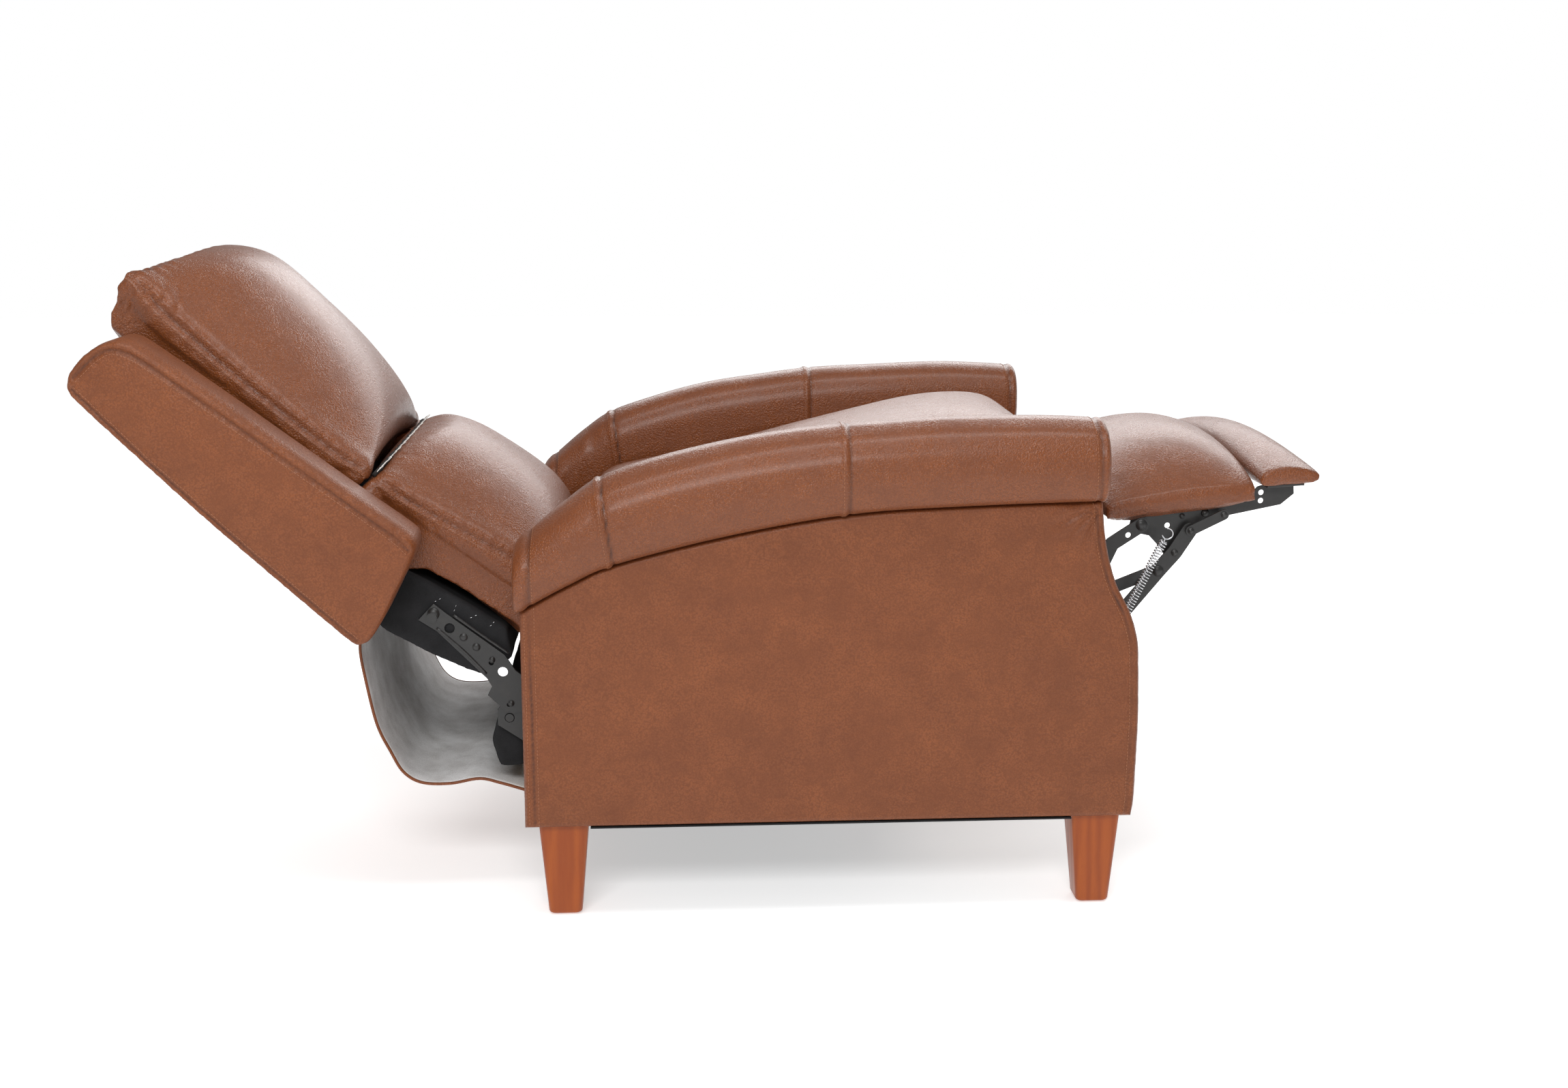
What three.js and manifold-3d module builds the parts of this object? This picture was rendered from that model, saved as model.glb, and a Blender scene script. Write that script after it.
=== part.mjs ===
// Reclining armchair with a pop-out footrest, drawn fully reclined.
// Millimetres. +X is the sitter's forward, +Y the sitter's left, +Z up; the floor is z = 0.
import * as THREE from 'three';
import { mergeVertices } from 'three/addons/utils/BufferGeometryUtils.js';
import Module from 'manifold-3d';

const wasm = await Module();
wasm.setup();

// ---- Driving dimensions -------------------------------------------------------------------
const CHAIR_SHIFT = 139;          // moves the middle of the whole length onto x = 0
const GAP = 0.4;                  // clearance between pieces that touch
const PANEL_REAR = -405;          // rear edge of a side panel
const PANEL_FRONT = 406;          // front edge of a side panel at the floor end
const PANEL_BOTTOM = 129;
const PANEL_INNER = 268;          // |y| of a side panel's inner face
const PANEL_OUTER = 365;
const ARM_INNER = 265;
const ARM_OUTER = 385;
const LEG_TOP = 66;
const LEG_FOOT = 44;
const LEG_X = [-355, 361];
const LEG_OUTER = 352;
const SEAT_PIVOT = [-430, 250];   // seat frame tilts about this point (x, z)
const SEAT_TILT = 9;              // degrees the seat front is raised when reclined
const BACK_PIVOT = [-400, 280];
const BACK_HALF = 258;            // half width of the back cushions
const WING_INNER = 270;
const WING_OUTER = 345;
const PAD_HALF = 250;             // half width of the footrest pads and of the rear skirt
const PAD_ANGLE = 7.7;            // degrees the main pad points upward when out
const PLATE = 3;                  // thickness of the stamped steel links
const LAYER_PITCH = 5;
const LAYER_OUTER = 254;          // outer face of the outermost moving layer, the seat plate
const PIN_RADIUS = 5;
const HOLE_RADIUS = 5.5;

// Pivots of the footrest linkage in the reclined, footrest-out position (x, z).
const DRIVE_PIVOT = [255.36, 447.09];
const KNEE = [378, 336];
const STAY_PIVOT = [462, 439];
const FRONT_PIVOT = [484, 464.5];
const REAR_PIVOT = [435, 505];
const CONTROL_PIVOT = [504, 496];
const FLIP_PIVOT = [527, 518];
const FLIP_ARM = [549.2, 518];
const REAR_LINK_ROOT = [341.9, 360.55];
const STAY_END = [331.7, 387.7];

// ---- Materials ----------------------------------------------------------------------------
const LEATHER = { color: 0x8a4b2e, roughness: 0.42, metalness: 0 };
const SUEDE = { color: 0x8f8b88, roughness: 0.95, metalness: 0 };
const WOOD = { color: 0x9a4a1c, roughness: 0.3, metalness: 0 };
const RAW_WOOD = { color: 0xb8955f, roughness: 0.8, metalness: 0 };
const STEEL = { color: 0x1b1b1d, roughness: 0.45, metalness: 0.6 };
const ZINC = { color: 0xc9ccd0, roughness: 0.25, metalness: 1 };
const CAMBRIC = { color: 0x161617, roughness: 0.95, metalness: 0 };

const chair = new THREE.Group();
const standing = new THREE.Group();
standing.position.x = CHAIR_SHIFT;
chair.add(standing);

// The seat assembly is drawn level and then tilted about its pivot.
const seat = new THREE.Group();
const tilt = new THREE.Group();
tilt.position.set(SEAT_PIVOT[0], 0, SEAT_PIVOT[1]);
tilt.rotation.y = -THREE.MathUtils.degToRad(SEAT_TILT);
seat.position.set(-SEAT_PIVOT[0], 0, -SEAT_PIVOT[1]);
tilt.add(seat);
standing.add(tilt);

// ---- Shape helpers ------------------------------------------------------------------------
function addPart(group, name, geometry, finish) {
  const mesh = new THREE.Mesh(geometry, new THREE.MeshStandardMaterial(finish));
  mesh.name = name;
  group.add(mesh);
}

function bare(geometry) {
  geometry.deleteAttribute('normal');
  geometry.deleteAttribute('uv');
  return mergeVertices(geometry, 1e-3);
}

function toSolid(geometry) {
  const merged = bare(geometry);
  const vertProperties = new Float32Array(merged.attributes.position.array);
  const triVerts = new Uint32Array(merged.index.array);
  return new wasm.Manifold(new wasm.Mesh({ numProp: 3, vertProperties, triVerts }));
}

function toGeometry(solid) {
  const mesh = solid.getMesh();
  const geometry = new THREE.BufferGeometry();
  geometry.setAttribute('position', new THREE.BufferAttribute(mesh.vertProperties, 3));
  geometry.setIndex(new THREE.BufferAttribute(mesh.triVerts, 1));
  return geometry;
}

// The range of y between two distances from the middle, on the given side.
function span(side, inner, outer) {
  return side > 0 ? [inner, outer] : [-outer, -inner];
}

function outline(points) {
  return new THREE.Shape(points.map(([x, z]) => new THREE.Vector2(x, z)));
}

// Extrudes an outline in the x-z plane between two values of y.
function acrossWidth(shape, [yLow, yHigh], bevel = 0) {
  const geometry = new THREE.ExtrudeGeometry(shape, {
    depth: yHigh - yLow - 2 * bevel,
    bevelEnabled: bevel > 0,
    bevelSize: bevel,
    bevelThickness: bevel,
    bevelOffset: -bevel,
    bevelSegments: 2,
    curveSegments: 8,
  });
  geometry.rotateX(Math.PI / 2);
  geometry.translate(0, yHigh - bevel, 0);
  return geometry;
}

// A round bar across the chair: centre (x, z), radius, and a range of y.
function roundBar([x, z], radius, [yLow, yHigh], segments = 14) {
  const geometry = new THREE.CylinderGeometry(radius, radius, yHigh - yLow, segments);
  geometry.translate(x, (yLow + yHigh) / 2, z);
  return geometry;
}

// A band of even width along a line of points, as a closed outline.
function band(points, width) {
  const left = [];
  const right = [];
  points.forEach((point, i) => {
    const before = points[Math.max(i - 1, 0)];
    const after = points[Math.min(i + 1, points.length - 1)];
    const dx = after[0] - before[0];
    const dz = after[1] - before[1];
    const length = Math.hypot(dx, dz);
    const nx = (-dz / length) * width / 2;
    const nz = (dx / length) * width / 2;
    left.push([point[0] + nx, point[1] + nz]);
    right.unshift([point[0] - nx, point[1] - nz]);
  });
  return [...left, ...right];
}

// Joins closed rings of points, one after another, into a closed skin with flat ends.
function loft(rings) {
  const count = rings[0].length;
  const positions = rings.flat().flatMap((p) => [p.x, p.y, p.z]);
  const index = [];
  for (let r = 0; r + 1 < rings.length; r += 1) {
    for (let i = 0; i < count; i += 1) {
      const a = r * count + i;
      const b = r * count + ((i + 1) % count);
      index.push(a, b, b + count, a, b + count, a + count);
    }
  }
  [0, rings.length - 1].forEach((r) => {
    const centre = new THREE.Vector3();
    rings[r].forEach((p) => centre.addScaledVector(p, 1 / count));
    const middle = positions.length / 3;
    positions.push(centre.x, centre.y, centre.z);
    for (let i = 0; i < count; i += 1) {
      const a = r * count + i;
      const b = r * count + ((i + 1) % count);
      index.push(...(r === 0 ? [middle, b, a] : [middle, a, b]));
    }
  });
  let volume = 0;
  const at = (i) => new THREE.Vector3().fromArray(positions, 3 * i);
  for (let t = 0; t < index.length; t += 3) {
    volume += at(index[t]).dot(at(index[t + 1]).cross(at(index[t + 2])));
  }
  if (volume < 0) {
    index.reverse();
  }
  const geometry = new THREE.BufferGeometry();
  geometry.setAttribute('position', new THREE.Float32BufferAttribute(positions, 3));
  geometry.setIndex(index);
  return geometry;
}

// A cushion across the chair: its profile goes from the side seam to the crown in the middle.
function crowned(sideProfile, crownProfile, half, place) {
  const stations = [-1, -0.94, -0.78, -0.45, 0, 0.45, 0.78, 0.94, 1];
  return loft(stations.map((s) => {
    const crown = (1 - s ** 4) * (1 - 0.12 * s * s);
    return sideProfile.map((side, i) => {
      const u = side[0] + (crownProfile[i][0] - side[0]) * crown;
      const v = side[1] + (crownProfile[i][1] - side[1]) * crown;
      const [x, z] = place(u, v);
      return new THREE.Vector3(x, s * half, z);
    });
  }));
}

// A stamped link: bars along a path, with holes through it and pins standing out of it.
function link({ path, radius, range, holes = [], pins = [] }) {
  let solid = null;
  const join = (piece) => {
    solid = solid ? solid.add(piece) : piece;
  };
  path.forEach((point) => join(toSolid(roundBar(point, radius, range, 18))));
  for (let i = 0; i + 1 < path.length; i += 1) {
    join(toSolid(acrossWidth(outline(band([path[i], path[i + 1]], 2 * radius)), range)));
  }
  return finishPlate(solid, range, holes, pins);
}

function finishPlate(blank, range, holes, pins) {
  let solid = blank;
  const through = [range[0] - 1, range[1] + 1];
  pins.forEach(({ at, radius = PIN_RADIUS, reach }) => {
    solid = solid.add(toSolid(roundBar(at, radius, reach)));
  });
  holes.forEach(({ at, radius = HOLE_RADIUS }) => {
    solid = solid.subtract(toSolid(roundBar(at, radius, through)));
  });
  return toGeometry(solid);
}

function layer(side, number) {
  const outer = LAYER_OUTER - number * LAYER_PITCH;
  return span(side, outer - PLATE, outer);
}

// A pin from the outer face of one layer into and just through an outer neighbour.
function pinOutward(side, at, fromLayer, toLayer, radius = PIN_RADIUS) {
  const start = LAYER_OUTER - fromLayer * LAYER_PITCH - PLATE / 2;
  const end = LAYER_OUTER - toLayer * LAYER_PITCH + 1.2;
  return { at, radius, reach: span(side, start, end) };
}

const identity = (x, z) => [x, z];
const SIDES = [[-1, 'right'], [1, 'left']];

// ---- Base: side panels, arm pads, rails, legs ------------------------------------------------
const rollSeam = new THREE.SplineCurve([
  [-413, 420], [-340, 458], [-277, 485], [-130, 521], [25, 547], [180, 556], [344, 561],
].map(([x, z]) => new THREE.Vector2(x, z)));
const armRidge = new THREE.SplineCurve([
  [-419, 497], [-388, 518], [-346, 554], [-300, 588], [-224, 618], [-142, 639],
  [-61, 651], [19, 659], [144, 665], [247, 666], [365, 660],
].map(([x, z]) => new THREE.Vector2(x, z)));

function heightAt(curve, x) {
  const points = curve.getPoints(160);
  const next = Math.max(points.findIndex((p) => p.x >= x), 1);
  const before = points[next - 1];
  const after = points[next];
  const part = (x - before.x) / (after.x - before.x);
  return before.y + (after.y - before.y) * part;
}

const ARM_STATIONS = [-405, -375, -340, -300, -250, -180, -100, 0, 110, 230, 344];

function panelOutline() {
  const top = ARM_STATIONS.map((x) => [x, heightAt(rollSeam, x) - GAP]);
  return [
    ...top.slice(0, -1),
    [344, heightAt(rollSeam, 344) - GAP],
    [352, 512],
    [358, 470],
    [369, 430],
    [390, 395],
    [402, 360],
    [PANEL_FRONT, 310],
    [PANEL_FRONT, PANEL_BOTTOM],
    [PANEL_REAR, PANEL_BOTTOM],
  ].reverse();
}

// Cross-section of an arm pad at one station: rounded on top, rolled over the outer face.
function armSection(side, x, shrink) {
  const low = heightAt(rollSeam, Math.min(x, 344));
  const high = heightAt(armRidge, x);
  const rise = high - low;
  const middleY = (ARM_INNER + ARM_OUTER) / 2;
  const middleZ = low + rise / 2;
  const profile = [
    [PANEL_OUTER - 1, 0], [PANEL_OUTER + 14, 0.12], [ARM_OUTER, 0.4], [ARM_OUTER - 3, 0.7],
    [ARM_OUTER - 22, 0.9], [ARM_OUTER - 48, 0.985], [325, 1], [300, 0.98], [281, 0.88],
    [ARM_INNER + 3, 0.66], [ARM_INNER, 0.35], [ARM_INNER + 3, 0],
  ];
  return profile.map(([y, part]) => {
    const z = low + part * rise;
    return new THREE.Vector3(
      x,
      side * (middleY + (y - middleY) * shrink),
      part === 0 ? z : middleZ + (z - middleZ) * shrink,
    );
  });
}

function armPad(side) {
  const rings = ARM_STATIONS.map((x) => armSection(side, x, 1));
  rings.unshift(armSection(side, -413, 0.93));
  const nose = armSection(side, 344, 1);
  [[14, 0.97], [21, 0.86]].forEach(([reach, shrink]) => {
    rings.push(nose.map((p) => new THREE.Vector3(
      344 + reach,
      side * 325 + (p.y - side * 325) * shrink,
      612 + (p.z - 612) * shrink,
    )));
  });
  return loft(rings);
}

function leg(side, x) {
  const ring = (size, z, centreY) => {
    const corner = 8;
    const half = size / 2;
    const points = [];
    [[1, 1], [-1, 1], [-1, -1], [1, -1]].forEach(([sx, sy], quarter) => {
      for (let k = 0; k <= 2; k += 1) {
        const angle = (quarter + k / 2) * Math.PI / 2;
        points.push(new THREE.Vector3(
          x + sx * (half - corner) + corner * Math.cos(angle),
          centreY + sy * (half - corner) + corner * Math.sin(angle),
          z,
        ));
      }
    });
    return points;
  };
  const outerFoot = LEG_OUTER - 4;
  return loft([
    ring(LEG_FOOT, 0, side * (outerFoot - LEG_FOOT / 2)),
    ring(LEG_TOP, PANEL_BOTTOM - GAP, side * (LEG_OUTER - LEG_TOP / 2)),
  ]);
}

SIDES.forEach(([side, name]) => {
  const panel = acrossWidth(outline(panelOutline()), span(side, PANEL_INNER, PANEL_OUTER));
  addPart(standing, `side_panel_${name}`, bare(panel), LEATHER);
  addPart(standing, `arm_pad_${name}`, armPad(side), LEATHER);
  LEG_X.forEach((x) => {
    addPart(standing, `leg_${x < 0 ? 'rear' : 'front'}_${name}`, leg(side, x), WOOD);
  });
});

const RAIL_HALF = PANEL_INNER - GAP;
const frontRail = [[120, 131.5], [142, 131.5], [142, 166], [120, 166]];
const rearSill = [[-402, 131.5], [-380, 131.5], [-380, 172], [-402, 172]];
const rearRail = [[-446, 176], [-412, 176], [-412, 240], [-444, 262], [-457, 214]];
addPart(standing, 'front_rail', bare(acrossWidth(outline(frontRail), [-RAIL_HALF, RAIL_HALF])), RAW_WOOD);
addPart(standing, 'rear_sill', bare(acrossWidth(outline(rearSill), [-RAIL_HALF, RAIL_HALF])), RAW_WOOD);
addPart(standing, 'rear_rail', bare(acrossWidth(outline(rearRail), [-248, 248])), STEEL);

function flatSheet(x0, x1, y0, y1, z0, z1) {
  const geometry = new THREE.BoxGeometry(x1 - x0, y1 - y0, z1 - z0);
  geometry.translate((x0 + x1) / 2, (y0 + y1) / 2, (z0 + z1) / 2);
  return bare(geometry);
}
const CLOTH_LOW = 126.6;
const CLOTH_HIGH = PANEL_BOTTOM - GAP;
addPart(standing, 'dust_cover', flatSheet(-400, 144, -266, 266, CLOTH_LOW, CLOTH_HIGH), CAMBRIC);
SIDES.forEach(([side, name]) => {
  const [y0, y1] = span(side, 269, 362);
  const cloth = flatSheet(LEG_X[0] + 36, LEG_X[1] - 36, y0, y1, CLOTH_LOW, CLOTH_HIGH);
  addPart(standing, `panel_underlining_${name}`, cloth, CAMBRIC);
});

// Fixed mechanism plate: carries the back pivot and the seat pivot, stands off the side panel.
const BASE_PLATE = [256, 259];
const basePlateOutline = [
  [-446, 240], [-446, 262], [-420, 297], [-384, 297], [-368, 264], [240, 244], [240, 206],
  [-396, 206],
].reverse();
SIDES.forEach(([side, name]) => {
  const range = span(side, ...BASE_PLATE);
  const blank = toSolid(acrossWidth(outline(basePlateOutline), range));
  const standOff = (at) => ({ at, radius: 9, reach: span(side, 257, PANEL_INNER - GAP) });
  const geometry = finishPlate(
    blank,
    range,
    [{ at: BACK_PIVOT, radius: 6.6 }, { at: SEAT_PIVOT, radius: 6.6 }],
    [standOff([-300, 232]), standOff([-60, 232]), standOff([200, 225])],
  );
  addPart(standing, `base_plate_${name}`, geometry, STEEL);
});

// ---- Seat: rails, springs, cushion, mechanism plates (drawn level) -----------------------------
const SEAT_BOTTOM = 378;
const SEAT_TOP = 402;
const SEAT_REAR = -205;
const SEAT_FRONT = 294;
const RAIL_OUTER = 250.6;
const RAIL_WIDTH = 24;
function seatRail(x0, x1, y0, y1) {
  return flatSheet(x0, x1, y0, y1, SEAT_BOTTOM, SEAT_TOP);
}
const innerRail = RAIL_OUTER - RAIL_WIDTH;
addPart(seat, 'seat_rail_front', seatRail(SEAT_FRONT - RAIL_WIDTH, SEAT_FRONT, -RAIL_OUTER, RAIL_OUTER), RAW_WOOD);
addPart(seat, 'seat_rail_rear', seatRail(SEAT_REAR, SEAT_REAR + RAIL_WIDTH, -RAIL_OUTER, RAIL_OUTER), RAW_WOOD);
SIDES.forEach(([side, name]) => {
  const [y0, y1] = span(side, innerRail, RAIL_OUTER);
  const x0 = SEAT_REAR + RAIL_WIDTH + GAP;
  const x1 = SEAT_FRONT - RAIL_WIDTH - GAP;
  addPart(seat, `seat_rail_${name}`, seatRail(x0, x1, y0, y1), RAW_WOOD);
});

function seatSpring(centreY) {
  const start = SEAT_REAR + RAIL_WIDTH + 3;
  const length = SEAT_FRONT - SEAT_REAR - 2 * RAIL_WIDTH - 6;
  const bends = 16;
  const wave = Array.from({ length: bends + 1 }, (_, i) => {
    const swing = i === 0 || i === bends ? 0 : 24 * (i % 2 ? 1 : -1);
    return [start + (length * i) / bends, swing];
  });
  const geometry = new THREE.ExtrudeGeometry(outline(band(wave, 4)), { depth: 4, bevelEnabled: false });
  geometry.translate(0, centreY, SEAT_TOP - 12);
  return bare(geometry);
}
[-165, -55, 55, 165].forEach((y, i) => {
  addPart(seat, `seat_spring_${i + 1}`, seatSpring(y), ZINC);
});

const seatPlateOutline = [
  [-444, 242], [-430, 235], [-340, 238], [-235, 312], [255, 320], [278, 318], [293, 330],
  [293, 349], [284, 374], [284, 401], [-198, 401], [-212, 345], [-350, 265], [-430, 265], [-444, 258],
];
// The drive pivot in the level seat's own frame.
function levelPoint([x, z]) {
  const angle = -THREE.MathUtils.degToRad(SEAT_TILT);
  const dx = x - SEAT_PIVOT[0];
  const dz = z - SEAT_PIVOT[1];
  return [
    SEAT_PIVOT[0] + dx * Math.cos(angle) - dz * Math.sin(angle),
    SEAT_PIVOT[1] + dx * Math.sin(angle) + dz * Math.cos(angle),
  ];
}
SIDES.forEach(([side, name]) => {
  const range = layer(side, 0);
  const blank = toSolid(acrossWidth(outline(seatPlateOutline), range));
  const pin = { at: SEAT_PIVOT, radius: 6, reach: span(side, 252, 259.8) };
  const geometry = finishPlate(blank, range, [{ at: levelPoint(DRIVE_PIVOT) }], [pin]);
  addPart(seat, `seat_plate_${name}`, geometry, STEEL);
});

const crossTube = new THREE.Shape().absarc(-150, 330, 9, 0, 2 * Math.PI);
addPart(seat, 'cross_tube', bare(acrossWidth(crossTube, [-RAIL_OUTER, RAIL_OUTER])), STEEL);

const seatSide = [
  [-212, 404], [70, 404], [330, 404], [347, 425], [350, 470], [338, 502], [230, 512], [68, 503],
  [-110, 490], [-205, 482], [-212, 450],
];
const seatCrown = [
  [-212, 404], [70, 404], [330, 404], [350, 425], [352, 480], [338, 522], [228, 546], [68, 534],
  [-110, 515], [-205, 500], [-212, 460],
];
addPart(seat, 'seat_cushion', crowned(seatSide, seatCrown, BACK_HALF, identity), LEATHER);
const gusset = [[-288, 425], [-213, 425], [-213, 494], [-288, 496]];
addPart(seat, 'seat_rear_gusset', bare(acrossWidth(outline(gusset), [-250, 250])), LEATHER);

// ---- Back: frame, wings, cushions, outside panel, brackets ------------------------------------
// Places are (down the back, out from its rear face), from the top rear corner of the wings.
const BACK_TOP = [-955, 718];
const BACK_LEAN = 44.4;
function backPlace(down, out) {
  const angle = THREE.MathUtils.degToRad(BACK_LEAN);
  return [
    BACK_TOP[0] + down * Math.cos(angle) + out * Math.sin(angle),
    BACK_TOP[1] - down * Math.sin(angle) + out * Math.cos(angle),
  ];
}
const placed = (points) => points.map(([u, v]) => backPlace(u, v));

const wingOutline = placed([
  [0, 6], [6, 0], [26, -5], [470, -3], [489, 3], [492, 12], [442, 151], [30, 95], [10, 84],
]);
SIDES.forEach(([side, name]) => {
  const wing = acrossWidth(outline(wingOutline), span(side, WING_INNER, WING_OUTER), 9);
  addPart(standing, `wing_${name}`, bare(wing), LEATHER);
});

const frameOutline = placed([
  [10, 8], [498, 8], [559, 24], [611, 41], [640, 54], [648, 98], [615, 123.5], [459, 88],
  [452, 64], [4, 60],
]);
addPart(standing, 'back_frame', bare(acrossWidth(outline(frameOutline), [-260.6, 260.6])), CAMBRIC);
const outsideBack = placed([[4, 0.5], [488, 0.5], [488, 7.4], [4, 7.4]]);
addPart(standing, 'outside_back', bare(acrossWidth(outline(outsideBack), [-268, 268])), LEATHER);

const headSide = [
  [-10, 66], [150, 66], [338, 66], [344, 110], [341, 150], [240, 140], [132, 130], [20, 124],
  [-46, 130], [-44, 100], [-30, 74],
];
const headCrown = [
  [-10, 66], [150, 66], [334, 66], [338, 120], [327, 192], [250, 231], [150, 241], [30, 235],
  [-40, 180], [-56, 120], [-34, 74],
];
addPart(standing, 'back_cushion_upper', crowned(headSide, headCrown, BACK_HALF, backPlace), LEATHER);
const lumbarSide = [
  [350, 66], [452, 66], [459, 91], [530, 114], [611, 127], [655, 135], [646, 190], [600, 206],
  [543, 197], [480, 178], [400, 160], [352, 150],
];
const lumbarCrown = [
  [352, 66], [452, 66], [459, 91], [530, 114], [611, 127], [662, 138], [647, 192], [600, 258],
  [545, 280], [456, 269], [382, 250], [346, 206],
];
addPart(standing, 'back_cushion_lumbar', crowned(lumbarSide, lumbarCrown, BACK_HALF, backPlace), LEATHER);

const bracketOutline = [
  [-547, 390], [-526, 412], [-508, 397], [-434, 340], [-420, 318], [-388, 292], [-386, 276],
  [-394, 266], [-422, 258], [-434, 260], [-458, 284], [-452, 296], [-458, 307], [-523, 374],
].reverse();
SIDES.forEach(([side, name]) => {
  const range = span(side, 261, 264);
  const blank = toSolid(acrossWidth(outline(bracketOutline), range));
  const geometry = finishPlate(
    blank,
    range,
    [
      { at: [-529, 393], radius: 4 },
      { at: [-506, 378], radius: 7 },
      { at: [-452, 329], radius: 3.5 },
      { at: [-437, 316], radius: 7 },
      { at: [-430, 270], radius: 3 },
    ],
    [{ at: BACK_PIVOT, radius: 6, reach: span(side, 255.2, 262) }],
  );
  addPart(standing, `back_bracket_${name}`, geometry, STEEL);
  const screw = toSolid(roundBar([-529, 393], 3.5, span(side, 261, 265)))
    .add(toSolid(roundBar([-529, 393], 7, span(side, 264.3, 267))));
  addPart(standing, `bracket_screw_${name}`, toGeometry(screw), STEEL);
});

// ---- Rear skirt: one sheet from the bottom of the back to the base ------------------------------
const skirtLine = new THREE.SplineCurve([
  [-628, 352], [-624, 312], [-611, 243], [-593, 201], [-577, 172], [-553, 157], [-515, 155],
  [-475, 161], [-446, 154], [-405.5, 139],
].map(([x, z]) => new THREE.Vector2(x, z))).getPoints(26).map((p) => [p.x, p.y]);
const skirt = acrossWidth(outline(band(skirtLine, 3)), [-PAD_HALF, PAD_HALF]);
addPart(standing, 'rear_skirt', bare(skirt), SUEDE);

// ---- Footrest linkage ------------------------------------------------------------------------
const DRIVE_LAYER = 1;
const REAR_LAYER = 2;
const CONTROL_LAYER = 2;
const LIFT_LAYER = 3;
const STAY_LAYER = 4;
const OTTOMAN_LAYER = 5;
const FLIP_LAYER = 6;

// A pin from one layer inward into the next ones.
function pinInward(side, at, fromLayer, toLayer, radius = PIN_RADIUS) {
  const start = LAYER_OUTER - fromLayer * LAYER_PITCH - PLATE / 2;
  const end = LAYER_OUTER - toLayer * LAYER_PITCH - PLATE - 1.2;
  return { at, radius, reach: span(side, end, start) };
}

const padAngle = THREE.MathUtils.degToRad(PAD_ANGLE);
const PAD_ORIGIN = [392, 508];
// Places on the main pad are (forward along its board, up from the board's underside).
function padPlace(u, v) {
  return [
    PAD_ORIGIN[0] + u * Math.cos(padAngle) - v * Math.sin(padAngle),
    PAD_ORIGIN[1] + u * Math.sin(padAngle) + v * Math.cos(padAngle),
  ];
}
const FLIP_ORIGIN = [598, 557];
const flipAngle = THREE.MathUtils.degToRad(3.3);
function flipPlace(u, v) {
  return [
    FLIP_ORIGIN[0] + u * Math.cos(flipAngle) - v * Math.sin(flipAngle),
    FLIP_ORIGIN[1] + u * Math.sin(flipAngle) + v * Math.cos(flipAngle),
  ];
}

const ottomanOutline = [
  [424, 511.2], [422, 500], [432, 491], [450, 487], [466, 470], [475, 455], [487, 452],
  [497, 461], [498, 482], [512, 489], [522, 503], [546, 513], [546, 527.8],
];
const flipOutline = [
  [519.5, 515], [521, 508], [530, 505.5], [564, 514], [634, 528], [652, 543], [651, 555],
  [606, 555], [600, 553], [595, 546], [594, 536.5], [590, 533], [540, 526.5], [519.5, 522],
];

SIDES.forEach(([side, name]) => {
  addPart(standing, `drive_link_${name}`, link({
    path: [DRIVE_PIVOT, REAR_LINK_ROOT, KNEE],
    radius: 11,
    range: layer(side, DRIVE_LAYER),
    holes: [{ at: REAR_LINK_ROOT }],
    pins: [
      pinOutward(side, DRIVE_PIVOT, DRIVE_LAYER, 0),
      pinInward(side, KNEE, DRIVE_LAYER, LIFT_LAYER),
    ],
  }), STEEL);
  addPart(standing, `lift_link_${name}`, link({
    path: [KNEE, STAY_PIVOT, FRONT_PIVOT, CONTROL_PIVOT],
    radius: 10.5,
    range: layer(side, LIFT_LAYER),
    holes: [{ at: KNEE }, { at: STAY_PIVOT }, { at: CONTROL_PIVOT }],
    pins: [pinInward(side, FRONT_PIVOT, LIFT_LAYER, OTTOMAN_LAYER)],
  }), STEEL);
  addPart(standing, `rear_link_${name}`, link({
    path: [REAR_LINK_ROOT, [395, 479], REAR_PIVOT],
    radius: 10,
    range: layer(side, REAR_LAYER),
    holes: [{ at: [417, 491], radius: 4 }],
    pins: [pinOutward(side, REAR_LINK_ROOT, REAR_LAYER, DRIVE_LAYER)],
  }), STEEL);
  addPart(standing, `stay_link_${name}`, link({
    path: [STAY_END, STAY_PIVOT],
    radius: 8.5,
    range: layer(side, STAY_LAYER),
    pins: [pinOutward(side, STAY_PIVOT, STAY_LAYER, LIFT_LAYER)],
  }), STEEL);
  addPart(standing, `control_link_${name}`, link({
    path: [CONTROL_PIVOT, FLIP_ARM],
    radius: 7,
    range: layer(side, CONTROL_LAYER),
    pins: [pinInward(side, CONTROL_PIVOT, CONTROL_LAYER, LIFT_LAYER)],
  }), STEEL);
  addPart(standing, `ottoman_plate_${name}`, finishPlate(
    toSolid(acrossWidth(outline(ottomanOutline), layer(side, OTTOMAN_LAYER))),
    layer(side, OTTOMAN_LAYER),
    [{ at: FRONT_PIVOT }, { at: FLIP_PIVOT }, { at: [475, 501], radius: 4 }],
    [],
  ), STEEL);
  addPart(standing, `flip_bracket_${name}`, finishPlate(
    toSolid(acrossWidth(outline(flipOutline), layer(side, FLIP_LAYER))),
    layer(side, FLIP_LAYER),
    [{ at: [606, 545], radius: 4 }, { at: [606, 533.5], radius: 4 }],
    [pinOutward(side, FLIP_PIVOT, FLIP_LAYER, OTTOMAN_LAYER)],
  ), STEEL);
  const spring = new THREE.CylinderGeometry(7.5, 7.5, 1, 12);
  const low = new THREE.Vector3(402, side * 247.8, 362);
  const high = new THREE.Vector3(466, side * 247.8, 487);
  const along = high.clone().sub(low);
  spring.scale(1, along.length(), 1);
  spring.applyQuaternion(new THREE.Quaternion().setFromUnitVectors(
    new THREE.Vector3(0, 1, 0),
    along.clone().normalize(),
  ));
  spring.translate(...low.clone().add(high).multiplyScalar(0.5).toArray());
  addPart(standing, `tension_spring_${name}`, bare(spring), ZINC);
});

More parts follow.
